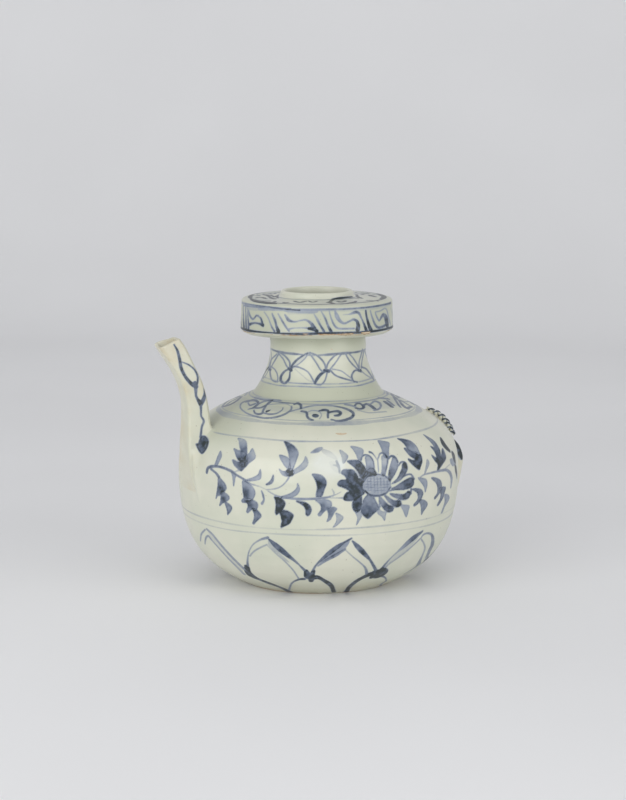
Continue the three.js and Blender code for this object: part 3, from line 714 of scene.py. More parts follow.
SPOUT_STROKES = (
    ((1.4, 2.6, 3, 3.2, 3, 3.4, 4.6), (0.85, 0.9), "174,344.6 177.4,350.7 179.7,359.6 181.3,368.4 "
     "185.8,377.3 191.5,383.8 196,386.5"),
    ((1, 1.5, 1.6, 1.9, 2), (0.85, 0.9), "182.5,362.2 189,365 194.8,370.2 197.6,376.8 197.6,381.5 "
     "196.5,386"),
    ((4.8, 3.4, 2.4, 2.6, 5), (0.8, 0.75, 0.9), "195,383.5 195.8,389 196,395 197.5,399 200.5,403"),
    ((1.4, 2.6, 3.8, 4.6), (0.8, 0.85), "204.4,387.5 204.9,394 203.4,399.5 200.8,404"),
    ((3, 2, 1.8, 2.2, 2, 2.4), (0.85, 0.8), "200.8,403 201,411 201.2,416 203.8,421 201.8,427 200.6,437"),
)
SPOUT_DROP = (
    "202.5,436 205.5,436.5 208.2,440 208,444.5 205.5,450 202.3,453.5 199.5,451.5 196.8,446.5 "
    "196.2,444 198.5,443.5 199.8,439.5"
)
SPOUT_DROP_DEEP = "203,443"
SPOUT_CRACKS = (
    "183.4,416.5 184.6,418.5 185.2,421",
    "185.5,421.5 187.5,424.5 189,427",
    "181.6,458.5 182.3,461",
)
SCROLL_LINES = (
    ((1.6, 1.8, 1.6, 1.6, 1.4, 1.8), 0.75, "291.5,406 291.5,409 288,412.3 282,415.3 274,417.4 264,418 "
     "253,415.6 245,412 240.8,408 240.8,404.5 243.5,402 248,400.8"),
    ((1.6, 2.4, 2.4, 1.4), 0.9, "247,401.5 252,400.3 256.5,400.8 258.5,403.3 256,406 252.5,408.3"),
    ((1.6, 1.4, 1.6), 0.8, "248,402.5 250,405.3 254.5,404"),
    ((1.2, 1.6, 1.4, 1.8, 2.6), (0.75, 0.9), "249,409 254,408 260,407.8 265.5,405.5 269.5,402.5 "
     "271.5,400.6"),
    ((1.6, 1.6, 1.4), 0.75, "259,403.5 264,401.5 269.5,400.3"),
    ((1.4, 2, 2, 2), 0.85, "254,410 254.8,412.8 258,414 262,413.4 263.3,410 265.5,406.5"),
    ((1.4, 1.8, 1.4, 1), 0.7, "264,413 270,414.2 277,413.2 282,410 283,407.5"),
    ((1.2, 1, 1), 0.45, "270,404.5 279,403.7 287,404 291.3,406.5"),
    ((1.4, 2.2, 2.6, 2.2), 0.92, "294.5,404.3 297.5,403.3 300.8,405 301,408.6"),
    ((1.2, 1.4, 1.6), 0.6, "290,411.5 296,409.8 302,408.3 308,406.6 315,405.5 323,405.2 333,405.7"),
    ((1.4, 1.6, 2.2, 2.6, 2.6, 2, 1.4), (0.65, 0.9, 0.75), "333,405.7 343,407.8 350.5,410.8 353.5,414 "
     "351.5,417.3 345,420 337,420.8 331.5,419.5"),
    ((1.4, 2.6, 2.4, 1.8), 0.92, "319.5,410.8 325,409.9 328.3,411.3 327.8,414.5 328,417.8"),
    ((1.8, 1.8, 2.6, 2.8, 1.8), 0.92, "328.8,412.5 333,411.5 338,411.3 340.6,412.8 339,415 335.3,415.6"),
    ((1.8, 2.4, 2.2, 1.2), 0.88, "302,411.2 306.6,412.4 307,415.8 309.3,418.8 313,420"),
    ((1, 1.2, 1), 0.5, "308,411.8 313,410.4 319,411.5 321.5,415 319.5,419"),
    ((3.4, 3.6), 0.97, "314.9,415.6 315.8,415.8"),
    ((1.4, 2, 1.4), 0.6, "345,404.5 350.5,405.3 355.5,407"),
    ((1.8, 1.8, 1.6, 2.8, 1.6, 1.6), 0.88, "354,406.3 356.5,403.6 360.5,403.8 363.8,407 360.5,408.8 "
     "356,408"),
    ((1.8, 2, 2.6, 3), 0.92, "363,405 367,404 370.7,405.8 373.3,408"),
    ((1.6, 1.8, 2.2, 1.8, 1.4), 0.72, "370.5,403.8 374,401.4 378.5,402.4 380.6,405.6 378.5,409 "
     "373.5,410.3"),
    ((1.2, 1.2), 0.4, "358,410 368,412.6 380,412 386,411.5"),
    ((2.4, 2.4), 0.92, "385.5,402.2 391,406.3"),
    ((1.8, 1.8), 0.85, "388,401 392.5,404.8"),
    ((1.6, 1.6), 0.75, "379,398 388,398.8"),
    ((2, 2, 1.6), 0.85, "391.5,392.5 394,398 397,403 400,407"),
    ((1.8, 2, 2.4, 3, 1.6), 0.9, "396.5,396.4 402,396.7 408,400 413,404.3"),
    ((1.8, 2.2, 2.2), 0.85, "399,400.5 402,404.5 406.5,408 411.5,406.3"),
    ((1.6, 1.6), 0.8, "401,400.5 408,404.8"),
    ((2.2, 1.6), 0.7, "413,404 417.5,405.5"),
)
FAR_SCROLL = (
    ((1.2, 2, 1.6, 1.2), 0.85, "222.5,406 226,402.5 232,399 238,396.8 241,397"),
    ((1.6, 2.4, 1.6), 0.9, "223,406.5 229,405 235,402 239,399 241,397"),
    ((1.4, 1.8), 0.8, "227,404.5 231,401.5 236,399"),
)
SCROLL_WASHES = (
    (0.95, "281.5,407.6 276,407.3 270,408.5 265.5,411.2 266.5,412.6 270,411 273.5,410.3 276.5,411.6 "
     "279.5,410.4"),
    (0.5, "280,399.5 270,399 262,397.8 256,396.3 254,398.3 262,400 272,401 282,401.3"),
)
TRELLIS_LINES = {
    "left": (
        ((1.2, 1.4), 0.6, "268.5,369 271,360 277,354"),
        ((1.2, 1.4), 0.65, "271,367 275,360 278,355"),
        ((1.2, 1.5, 1.4), 0.6, "278,353 283,359 286,365 289,370"),
        ((1.2, 1.8, 1.6), (0.6, 0.8), "281,353.5 286,357 289.5,362 290,368"),
        ((1.3, 1.6, 1.4), 0.65, "270,367 270,374 272,380 276,382"),
        ((1.3, 1.3), 0.6, "271,366.5 275,370 277.5,376 277.5,382"),
        ((1.2, 2.2, 2.6, 2.4, 1.4), (0.8, 0.92), "290,369 285,371 281,376 281,381 285,383 289,379 290,372"),
        ((2.6, 2.6), 0.95, "268.6,368.5 270.5,370"),
    ),
    "middle": (
        ((1.6, 2.2, 1.8, 1.6), (0.9, 0.8), "290,369 293,364 298,359 304,355 308,353"),
        ((1.2, 1.2), 0.55, "293,368 300,363 305,358.5 308,354"),
        ((1.2, 1.5, 1.4, 1.6), 0.6, "309,353 313,358 317,364 320,369 323,372"),
        ((1.2, 1.6, 1.6, 2), 0.7, "310,352.5 317,355.5 322,360 325,365 326,370"),
        ((1.8, 1.4, 1.4, 1.6), (0.9, 0.6, 0.7), "290,370 294,366.5 301,368 308,372 312,378 314.5,383"),
        ((1, 1), 0.3, "295,369 302,375 308,380 313,382"),
        ((1.6, 2.8, 3, 2.4), 0.95, "326,371 321,374 317,379 315,383"),
        ((1.4, 1.4, 1.4), 0.7, "315,384 321,384.5 325,380 327,373"),
        ((3, 3.2), 0.97, "288.6,368.6 291.3,370.2"),
    ),
    "right": (
        ((1.4, 1.6, 1.4), 0.7, "326,370 328,363 333,357 338,353.5"),
        ((1.4, 1.4), 0.6, "330,369 335,363 339,357 342,353"),
        ((1.4, 1.6), 0.65, "345,353 348,359 352,364 357,369"),
        ((1.2, 1.6), 0.6, "348,353 352,357 356,363 359,369"),
        ((1.6, 1.6, 1.6), 0.75, "330,370 335,375 342,378 351,380.5"),
        ((1.2, 1.2), 0.5, "332,369 341,371 348,376 352,379"),
        ((1.4, 1.8, 1.8), 0.75, "359,370 354,371 351.5,376 353,381 357,382"),
        ((3, 3.4), 0.97, "324.5,370.5 328.5,371"),
    ),
    "far_right": (
        ((1.2, 1.4), 0.6, "359,369 359,362 361,355 362.5,350"),
        ((1.2, 1.2), 0.6, "361,368 362,360 364,351"),
        ((1.4, 1.4), 0.6, "365,351 368,360 371,369 373,377"),
        ((1.6, 1.6), 0.7, "361,367 366,369 370,374 373,379"),
        ((1.2, 1.2), 0.5, "361,371 366,375 371,378"),
        ((2.6, 3), 0.95, "357.5,370 360.5,370.8"),
    ),
}
TRELLIS_WASH = "290,369 293,364 298,359 304,355 308,353 305,358.5 300,363 293,368"
FRET_LINES = {
    "end": (
        ((1.4, 1.6, 2.4), (0.7, 0.95), "243,308 243.2,318 243.6,327"),
        ((1.2, 1.4, 1.8), (0.6, 0.85), "245.4,308.5 245.6,318 246,328"),
        ((1, 1.4, 2), (0.55, 0.85), "247.6,309.5 247.8,318 248.3,328"),
        ((1, 1.6, 1.4, 1.4), (0.6, 0.75), "248.6,311 249.9,316.5 252.6,320 254.6,318.3 256.2,316 "
         "258.5,316.3"),
        ((2.6, 1.4, 1.4, 3), (0.9, 0.75, 0.95), "248.7,325.3 254,323.8 259,324.4 263,325.8"),
        ((1.2, 1.6, 2.6), (0.5, 0.8, 0.95), "257.5,316 261,319.5 262,325"),
    ),
    "two": (
        ((1.1, 1.3, 1.8), (0.4, 0.5, 0.75), "264,312 268,318 271,326 274.5,331.5"),
        ((1.4, 2.2, 2.2, 3.6), (0.55, 0.7, 0.75, 0.97), "272,314 275,321 276.5,327 278.3,331.5"),
        ((1.2, 1.7, 1.8, 1.7), (0.45, 0.7, 0.65), "278,314 281,319 285,326 289,331"),
        ((1.4, 3, 1.6, 1.2, 1.2, 1.8, 3, 4), (0.6, 0.75, 0.5, 0.5, 0.7, 0.95), "285,315 289,320.5 295,322 "
         "301,320.6 306,320.2 311,323.5 314.5,329"),
        ((1.6, 1.1, 1.1, 1.4), (0.6, 0.4, 0.5, 0.9), "288.5,329.5 294,328.4 303,328.1 311,328.6"),
        ((2.4, 3.6, 3), 0.97, "308.5,328.7 313,329 317,331"),
        ((0.9, 0.9), 0.25, "288,313.8 300,313.6 313,313.4"),
    ),
    "three": (
        ((1.1, 2.2, 1.8, 2.4), (0.4, 0.75, 0.85), "314,314 317,319 320,325 324,331.5"),
        ((1.1, 1.8, 2, 3), (0.4, 0.65, 0.75, 0.95), "321,311 325,318 328,326 331,331.5"),
        ((1.1, 1.5, 1.8, 1.6, 1.5), (0.4, 0.65, 0.6, 0.65), "329,310.5 331,318 334,325 338,328.5 346,328.8 "
         "354,328.6"),
        ((1.6, 4, 3, 1.8, 1.5, 2, 3.2, 4.4), (0.5, 0.55, 0.6, 0.6, 0.85, 0.97), "335,311 336.7,316 "
         "339.5,320.7 344,323.5 349,321.5 353,319.6 356.5,321.3 358,326 357.5,329.5"),
        ((0.9, 1, 2.6, 2.2, 1.3, 2, 3), (0.3, 0.5, 0.85, 0.6, 0.9, 0.95), "343,314.7 349,314.2 353,312.8 "
         "356,312 358.7,313.3 361,318 364,325 366,330.5"),
        ((1.8, 2, 2.6, 4), (0.85, 0.95), "365.5,311 366.5,318 368.5,325 370.7,330.5"),
    ),
    "four": (
        ((1.3, 1.6, 2.2, 2), (0.5, 0.7, 0.85), "370,311 372,318 374.5,324 377.5,327.5 382,327 386,325"),
        ((1.2, 1.5, 1.4, 2.8, 4, 3.4), (0.5, 0.7, 0.97), "375,312.5 376.5,317 379,321 381,317.5 383,315 "
         "385,317 386.5,321 387.5,325"),
        ((1, 1.2, 1.2), 0.5, "375,312 380,311 385,308.3 387,311 388.5,318 390.5,324"),
    ),
}


WALL_LINES = (
    ((1.6, 1.6, 1.4), (0.6, 0.6, 0.4), "243,305.2 247,306 253,306.6 260,307.2 270,308"),
    ((1.2, 1.6, 2, 2), (0.3, 0.45, 0.5, 0.55), "288,308.8 302,309.4 312,309.6 322,309.4"),
    ((2, 1.8, 1.6, 2), (0.55, 0.65, 0.85), "320,309.4 335,309.2 350,308.6 365,307.5 377,305.9 386,304.2 "
     "391,302.8"),
)
WALL_WASHES = (
    (0.42, "258,307 270,308 290,309 305,309.4 318,309.5 317,313 308,313.6 298,313.2 288,312.6 282,311.2 "
     "270,311 258,310.6"),
    (0.26, "246,306 252,306.8 258,307.2 258,311 250,310.4 246,309"),
    (0.2, "318,309.6 335,309.4 355,308.6 372,307 386,304.6 390,303.2 390,306 378,309 365,310.6 352,311.4 "
     "338,311.6 320,311.8"),
)
TOP_LINES = (
    ((1.2, 1.8, 1.4, 1.2, 0.8), (0.95, 0.9, 0.8), "253.8,295.4 251.9,296.7 250.9,298.4 253.8,300.6 "
     "258.8,301.9 265,302.8 271.3,303.4 276,303.6"),
    ((0.8, 1.2, 0.8), 0.7, "255,299.6 258.8,300.6 265,300.9 270,300.8"),
    ((0.8, 1.6, 1.4, 0.8), 0.85, "255.8,298 260,297.2 263.8,297.8 267,298.9"),
    ((0.8, 1, 1.8, 1.4, 1.6), (0.6, 0.9), "257,295.6 262,294.8 266.9,295.1 270,297 272.5,298.3 "
     "275.3,298.9"),
    ((1, 1.4, 1), 0.55, "270,293.6 275,292.8 280,292.4"),
    ((1, 1.6, 1.6), 0.85, "271.3,295 275.6,297 277.3,295.6 278,298.2"),
    ((1, 1.6, 1), 0.9, "269.4,301.8 272.5,302.6 276,301.2"),
    ((1, 1.6, 1), 0.85, "283.8,302.2 286,302.5 288.4,302.2"),
    ((1, 1.8, 1), 0.7, "294.4,301 300,302.2 306.3,301"),
    ((0.8, 1.2, 0.8), 0.6, "308.8,300.8 312.5,302 317,301"),
    ((2, 1.4, 1.4, 1.2, 1), (0.95, 0.8, 0.6), "328.8,302.3 331.9,299.9 336.3,298.7 341.9,298 347.5,297.4 "
     "352.5,296.8"),
    ((2, 1.4, 1.4, 1.4, 1), (0.95, 0.85, 0.7), "328.8,302.3 332.5,303.4 337.5,303.8 343.1,303.7 "
     "348.8,303.1 352.5,302.2 355.5,301"),
    ((1, 1.8, 1.2), 0.9, "337.6,301.2 341.3,302 344.6,300.6"),
    ((1.2, 1.6), 0.9, "350,302.5 353.8,302.1"),
    ((1.8, 2, 1), (0.95, 0.8), "356.3,294.4 357.5,297 361.3,298.4"),
    ((1, 1.2, 0.8), 0.6, "361.3,294.6 365,293.7 369,293.2"),
    ((1.2, 2, 1.2), 0.9, "369.6,295 372,296 374.2,296.9"),
    ((1, 1.8, 2.2, 1.6), (0.7, 0.95), "377.5,294 380.6,295.4 382.6,297 380.8,298.8"),
    ((1.2, 1.4), 0.85, "367,300.3 370,300.4"),
    ((1, 1.2), 0.75, "373.4,300.6 376.8,300.9"),
    ((0.8, 1, 0.8), 0.55, "349.5,298.6 355,298.3 358,298.8"),
)


def moved(places, turn=0.0, mirror=None, stretch=1.0):
    """Places turned round a form or mirrored about an azimuth, with what was turned a little uneven."""
    a, v = places.T
    if mirror is not None:
        a = 2 * mirror - a
    if turn:
        a = a * stretch + turn
        a, v = a + 0.012 * np.sin(7 * a + v / 9), v + 0.3 * np.sin(5 * a + 1.3 * turn)
    return np.stack([a, v], 1)


def paint_lines(canvas, lines, *change, layer="line", depth=1.0, full=1.0):
    """Brush lines read off the photograph, with their tones times depth and their widths times full."""
    for width, tone, text in lines:
        pixels = smoothly(read(text), 1.2)
        places = seen_on(canvas, pixels)
        share = np.linspace(0, 1, len(places))
        width = np.interp(share, np.linspace(0, 1, np.size(width)), np.ravel(width)) * PIXEL
        width = width * full * breadth_on(canvas, pixels, places)
        canvas.stroke(moved(places, *change), width, np.ravel(tone) * depth, layer)


def paint_washes(canvas, washes, *change):
    """Flat patches of thin cobalt."""
    for tone, text in washes:
        canvas.patch(moved(seen_on(canvas, smoothly(read(text), 1.2, closed=True)), *change), tone)


def paint_shapes(canvas, shapes, *change):
    """Filled leaves and petals, each with a darker edge."""
    for tone, rim, deep, text in shapes:
        places = moved(seen_on(canvas, smoothly(read(text), 1.2, closed=True)), *change)
        centre = None if deep is None else moved(seen_on(canvas, read(deep)), *change)[0]
        canvas.patch(places, tone, centre, min(0.97, max(tone, rim) + 0.15))
        if rim:
            canvas.stroke(np.concatenate([places, places[:1]]), 0.4, rim)


RIDGE_IN_VIEW = RIDGE_AZIMUTH - FRONT
# Rings round the body: height, width and tone. Those under the neck were drawn with a steadier hand.
BODY_RINGS = (
    (38.5, 0.7, 0.24), (35.3, 0.7, 0.24), (79.9, 0.9, 0.34), (93.3, 0.8, 0.6),
    (94.1, 0.5, 0.4), (100.5, 0.6, 0.5), (102.1, 0.55, 0.5), (115.9, 0.95, 0.6),
)
STEADY_ABOVE, SHOULDER_ABOVE = 90, 70
# Pale bands of the shoulder and the line between: height, width, tone, wave, beats, phase and layer
SHOULDER_BANDS = (
    (86.0, 2.8, 0.3, 0.15, 3, 0.5, "wash"),
    (87.1, 0.55, 0.4, 0.2, 2, 2.5, "line"),
    (90.9, 5.8, 0.15, 0.1, 2, 1.5, "wash"),
)
# Turns in degrees at which each motif is painted, with what is painted of it there
VINE_TURNS = (0, 182)
SCROLL_TURNS = ((SCROLL_LINES + FAR_SCROLL, 0), (SCROLL_LINES, 150), (SCROLL_LINES[:10], 262))
TRELLIS_TURNS = ((122.2, ("middle", "right")), (200.8, ("middle", "right")), (279.4, ("middle",)))
FRET_TURNS = (("two", 118), ("three", 119), ("two", 198), ("three", 200), ("two", 279))
# How dark each kind of brushwork is against what was read off the photograph
VINE_DEPTH, LAPPET_DEPTH, SCROLL_DEPTH, TRELLIS_DEPTH, TOP_DEPTH = 0.85, 0.87, 0.88, 0.92, 1.7
# Milky smears beside the flower: place, depth, width in radians and height in millimetres
MILKY_SMEARS = (("324,459", 0.8, 0.1, 4.5), ("336,466", 0.7, 0.08, 7), ("318,470", 0.5, 0.13, 5))
# Chips, as strokes of bare clay: on the belly and neck, and under the flange's edge, with its turned copies
BELLY_CHIPS = (((1, 2.2, 1), 0, "336,433.4 341,434 346,433.4"), (1, 0, "331,349 331.8,349.4"))
RIM_CHIPS = (
    ((0.8, 1.4, 1), 0, "303,333.4 305.5,333.8 308,333.6"),
    ((0.8, 1.2, 0.8, 1.4, 1), 0, "318,334.2 326,334.6 334,334.5 344,334.3 353,333.6"),
    ((1.2, 2.6, 1.4), 0, "361.5,332.8 365.5,332.8 369.5,331.8"),
)
CHIP_TURNS = (120, 190, 225)
# Top of the flange: radius, width and tone of its two rings, and the outer and inner radius of the
# scroll between them, with its mean radius, how many spirals fill the round, and those at the back
TOP_RINGS = ((33.9, 1.1, 1.5), (19.9, 0.7, 0.8))
TOP_OUTER, TOP_INNER, TOP_MEAN = 33.6, 20.6, 27.0
SPIRALS, BACK_SPIRALS = 9, (3, 4, 5, 6)


def paint_body():
    """The rings, the flowering vine with its copy behind, the lappets and the scroll of the shoulder."""
    for k, (height, width, tone) in enumerate(BODY_RINGS):
        wave, sag = (0.2, 0.0) if height > STEADY_ABOVE else (0.3, 0.9 * (height > SHOULDER_ABOVE))
        BODY.ring(height, width, tone, wave, 2 + k % 3, 1.7 * k, sag=sag)
    for band in SHOULDER_BANDS:
        BODY.ring(*band)
    for turn in np.radians(VINE_TURNS):
        paint_shapes(BODY, FLORAL_SHAPES + FLOWER_SHAPES, turn)
        paint_lines(BODY, FLORAL_LINES, turn, depth=VINE_DEPTH)
        paint_lines(BODY, FLOWER_LINES + SEED_LINES, turn)
    for mirror in (None, RIDGE_IN_VIEW):
        paint_lines(BODY, RIDGE_SIDE_LINES, 0.0, mirror)
    for name, turn, joints in PETALS:
        turn = math.radians(turn)
        paint_washes(BODY, PETAL_WASHES[name], turn)
        paint_lines(BODY, PETAL_LINES[name], turn, depth=LAPPET_DEPTH)
        for joint in joints:
            paint_lines(BODY, JOINT_LINES[joint], turn)
    for lines, turn in SCROLL_TURNS:
        paint_lines(BODY, lines, math.radians(turn), depth=SCROLL_DEPTH)
        paint_washes(BODY, SCROLL_WASHES, math.radians(turn))


def paint_neck():
    """Overlapping ovals of paired lines round the neck, heaped where they cross."""
    for lines in TRELLIS_LINES.values():
        paint_lines(BODY, lines, depth=TRELLIS_DEPTH)
    paint_washes(BODY, ((0.2, TRELLIS_WASH),))
    for turn, names in TRELLIS_TURNS:
        for name in names:
            paint_lines(BODY, TRELLIS_LINES[name], math.radians(turn), None, 0.93)


def paint_wall():
    """A fret of leaning strokes round the flange, between a pale band and the dark line at its foot."""
    turn = WALL.azimuth[None, :]
    height = WALL.height[:, None]
    gap = PLATE_TOP - 0.2 + 0.12 * np.sin(2 * turn) - height
    dark = 0.9 + 0.2 * np.sin(1.5 * turn) ** 2 + 0.06 * np.sin(9 * turn)
    WALL.lay("line", np.s_[:], np.abs(gap) - 0.75 - 0.15 * np.sin(5 * turn + 1), dark + 0 * gap)
    paint_washes(WALL, WALL_WASHES)
    paint_lines(WALL, WALL_LINES)
    for lines in FRET_LINES.values():
        paint_lines(WALL, lines)
    for name, turn in FRET_TURNS:
        paint_lines(WALL, FRET_LINES[name], math.radians(turn))
        paint_lines(WALL, WALL_LINES[-1:], math.radians(turn - 8))


def paint_top():
    """A running scroll on the flat of the flange, between two lines."""
    def along(radius):
        return float(np.interp(-radius, -TOP.outline[:, 0], TOP.along))
    outer, inner = along(TOP_OUTER), along(TOP_INNER)
    turn = TOP.azimuth[None, :]
    for k, (radius, width, tone) in enumerate(TOP_RINGS):
        gap = np.abs(TOP.along[:, None] - along(radius) - 0.2 * np.sin(3 * turn + k)) - width / 2
        TOP.lay("line", np.s_[:], gap, tone + 0.15 * np.sin(2 * turn + 0.5) + 0 * gap)
    paint_lines(TOP, TOP_LINES, depth=TOP_DEPTH, full=1.05)
    middle, reach = (outer + inner) / 2, (inner - outer) / 2 - 1.2
    for k in BACK_SPIRALS:
        centre = TAU * k / SPIRALS + 0.1
        side = 1 if k % 2 else -1
        t = np.linspace(0, 1, 60)
        wind = side * (0.9 + 9.2 * t)
        size = reach * (1 - 0.82 * t)
        sideways = size * 1.15 * np.cos(wind) / TOP_MEAN
        spiral = np.stack([centre + sideways, middle + size * np.sin(wind)], 1)
        TOP.stroke(spiral, (0.7, 1.1, 0.9, 1.2), (0.75, 0.8, 0.95))
        TOP.stroke(spiral[-3:], 1.8, 0.95)
        for hook in (1, -1):
            h = np.linspace(0, 4.2, 16)
            small = reach * 0.42 * (1 - h / 7)
            TOP.stroke(np.stack([
                centre + hook * 0.45 * TAU / SPIRALS + small * np.cos(h * hook) / TOP_MEAN,
                middle + side * hook * reach * 0.62 + small * np.sin(h * hook),
            ], 1), (0.6, 0.9, 1.3), (0.6, 0.9))
    gap = np.abs(TOP.along[:, None] - middle) - (reach + 1.2)
    TOP.lay("wash", np.s_[:], gap, 0.15 + 0.06 * np.sin(4 * turn) + 0 * gap)


def age_surfaces():
    """Where the glaze has stained, worn or run thin, and is greyer, partly run thick and partly painted
    shade.
    """
    a, z = BODY.azimuth[None, :], BODY.height[:, None]
    ridge = np.abs((a - RIDGE_IN_VIEW + math.pi) % TAU - math.pi)
    spout = np.abs((a + FRONT) % TAU - math.pi)
    BODY.stain += 0.3 * fade(ridge, 0.06, 0.32) * ease(z, 38, 62) * fade(z, 88, 93)
    BODY.stain += 0.35 * fade(spout, 0.1, 0.3) * ease(z, 50, 66) * fade(z, 86, 92)
    BODY.stain += 0.55 * fade(z, 1.5, 9)
    BODY.bare = np.minimum(BODY.bare, z + 0.2 * np.sin(3 * a) + 0.15 * np.sin(11 * a) - 0.3)
    paint_lines(BODY, BELLY_CHIPS, layer="bare")
    for milky, depth, wide, tall in MILKY_SMEARS:
        (centre, along), = seen_on(BODY, read(milky))
        up = (BODY.along[:, None] - along) / tall
        BODY.stain -= depth * np.exp(-((a - centre) / wide) ** 2 - up**2)
    BODY.line_tone *= 1 - fade(spout - 0.05 * np.sin(z), 0.12, 0.26) * ease(z, 44, 50) * fade(z, 80, 84)
    # Painted shade, as greyer glaze, on the neck's top under the flange and in the groove at the neck's
    # foot. Towards the foot the grey is partly glaze run thick and partly painted shade; round the collar
    # it is a fainter grey band.
    shade_under_flange, foot = ease(z, 112, 124), fade(z, 3, 14)
    groove_shade, collar = about(z, 97, 2, 9), about(z, 100, 8, 20)
    BODY.pooled_and_shade += 0.85 * shade_under_flange + 0.35 * foot + 0.6 * groove_shade
    # Painted shade in the angle beside the spout's root.
    BODY.pooled_and_shade += 0.8 * fade(spout, 0.1, 0.6) * about(z, 85, 3, 12)
    BODY.pooled_and_shade += 0.25 * collar
    WALL.stain += 0.5 * fade(WALL.height[:, None], PLATE_TOP, PLATE_TOP + 1.5)
    # The whole wall of the flange, and the outer bevel of its top, greyer.
    WALL.pooled_and_shade += 0.85
    TOP.pooled_and_shade += 0.45 * fade(TOP.along[:, None], 3, 12)


paint_body()
paint_neck()
paint_wall()
paint_top()
age_surfaces()


# Where slip fills the angle at the spout's root: the body's rows and the part of its skin that it may
# touch, in millimetres, and the steps in which it settles
ROOT_ROWS = np.flatnonzero((BODY.height > 36) & (BODY.height < 104))[::2]
ROOT_REACH, ROOT_BREADTH, ROOT_HEIGHTS = -45, 22, (40, 93)
ROOT_TOP = 92
SETTLE_STEPS, SETTLE_SHARE, MOST_LIFT = 24, 0.8, 5


def root_gaps(points):
    """How far points lie outside the body and outside the spout, and how nearly the two faces agree."""
    radius = np.hypot(points[:, 0], points[:, 1])
    flat = np.stack([radius, points[:, 2]], 1)
    index = ROOT_ROWS[((flat[:, None] - BODY.outline[ROOT_ROWS][None]) ** 2).sum(-1).argmin(1)]
    normal = BODY_NORMALS[index]
    body = ((flat - BODY.outline[index]) * normal).sum(1)
    body_way = np.stack([*(normal[:, 0] * points[:, k] / radius for k in (0, 1)), normal[:, 1]], 1)
    flat = np.stack([-points[:, 0], points[:, 2]], 1)
    index = ((flat[:, None] - SPOUT_LINE[None, :, :2]) ** 2).sum(-1).argmin(1)
    out, up, lean, depth, breadth = SPOUT_LINE[index].T
    lean = np.radians(lean)
    u = (flat[:, 0] - out) * np.cos(lean) - (flat[:, 1] - up) * np.sin(lean)
    over = np.stack([np.abs(u) - depth, np.abs(points[:, 1]) - breadth]) + SPOUT_CORNER
    below = np.maximum(SPOUT_LINE[0, 1] - points[:, 2], 0)
    spout = np.hypot(np.hypot(*np.maximum(over, 0)), below) + np.minimum(over.max(0), 0) - SPOUT_CORNER
    pull = np.exp(np.clip(over, -9, 9)) * np.sign([u, points[:, 1]])
    pull /= np.hypot(*pull)
    spout_way = np.stack([-pull[0] * np.cos(lean), pull[1], -pull[0] * np.sin(lean)], 1)
    return body, spout, (body_way * spout_way).sum(1)


def fill_corner(points, normals, own, proud=0.0):
    """Points of one skin moved out to the slip smoothed into the angle between spout and body.

    own is 0 for the body's skin and 1 for the spout's. Each skin runs a little past the line where
    the two meet, and then dips under the other.
    """
    lift = np.zeros(len(points))
    for _ in range(SETTLE_STEPS):
        here = points + normals * lift[:, None]
        body, spout, facing = root_gaps(here)
        reach = LOW_FILLET + (CROTCH_FILLET - LOW_FILLET) * ease(here[:, 2], LOW_HEIGHT, CROTCH_HEIGHT)
        reach = reach * (1 - np.abs(facing)) + 0.01
        blend = np.maximum(reach - np.abs(body - spout), 0)
        over = np.minimum(body, spout) - blend**2 / (4 * reach) - proud
        lift = np.clip(lift - SETTLE_SHARE * over, 0, MOST_LIFT)
    gaps = root_gaps(points + normals * lift[:, None])
    kept = ease(gaps[1 - own] - gaps[own], -FILLET_OVERLAP - FILLET_FADE, -FILLET_OVERLAP)
    return points + normals * (lift * kept)[:, None]


def spout_painting(points):
    """The brushwork of the spout and its root, laid in the photograph's plane and alike on both sides."""
    x, y = in_photo(np.stack([points[..., 0], -np.abs(points[..., 1]), points[..., 2]], -1))
    sheet = Sheet(x * PIXEL, y * PIXEL)
    for width, tone, text in SPOUT_STROKES:
        sheet.stroke(smoothly(read(text), 1.0) * PIXEL, np.ravel(width) * PIXEL, tone)
    drop = smoothly(read(SPOUT_DROP), 1.0, closed=True) * PIXEL
    sheet.patch(drop, 0.85, read(SPOUT_DROP_DEEP)[0] * PIXEL, 0.97)
    sheet.stroke(np.concatenate([drop, drop[:1]]), 0.5, 0.85)
    for crack in SPOUT_CRACKS:
        sheet.stroke(read(crack) * PIXEL, 0.4, layer="bare")
    return sheet


def add_attributes(mesh, values):
    """Puts values on a mesh, one to each vertex."""
    for name, value in values.items():
        layer = mesh.attributes.new(name, "FLOAT", "POINT")
        layer.data.foreach_set("value", np.ascontiguousarray(value, np.float32).ravel())


FIELDS = {
    "line": FAR, "line_tone": 0.0,
    "wash": FAR, "wash_tone": 0.0,
    "stain": 0.0, "pooled_and_shade": 0.0,
    "bare": FAR,
}


def sheet_values(sheet):
    """What is painted on a sheet, under the names of the fields."""
    return {key: getattr(sheet, key) for key in FIELDS}


def mesh_object(name, vertices, faces, material, fold=50):
    """An object at the origin from vertices in millimetres and four-sided faces, turned to face out."""
    vertices, faces = np.asarray(vertices, float).reshape(-1, 3), np.asarray(faces, np.int32)
    a, b, c, d = (vertices[faces[:, k]] for k in range(4))
    if (np.einsum("ij,ij->i", a, np.cross(b, c)) + np.einsum("ij,ij->i", a, np.cross(c, d))).sum() < 0:
        faces = faces[:, ::-1]
    mesh = bpy.data.meshes.new(name)
    mesh.vertices.add(len(vertices))
    mesh.vertices.foreach_set("co", (vertices * MM).astype(np.float32).ravel())
    mesh.loops.add(faces.size)
    mesh.loops.foreach_set("vertex_index", np.ascontiguousarray(faces).ravel())
    mesh.polygons.add(len(faces))
    mesh.polygons.foreach_set("loop_start", np.arange(0, faces.size, 4, dtype=np.int32))
    mesh.update(calc_edges=True)
    mesh.polygons.foreach_set("use_smooth", np.ones(len(faces), bool))
    mesh.set_sharp_from_angle(angle=math.radians(fold))
    mesh.materials.append(material)
    item = bpy.data.objects.new(name, mesh)
    bpy.context.scene.collection.objects.link(item)
    return item


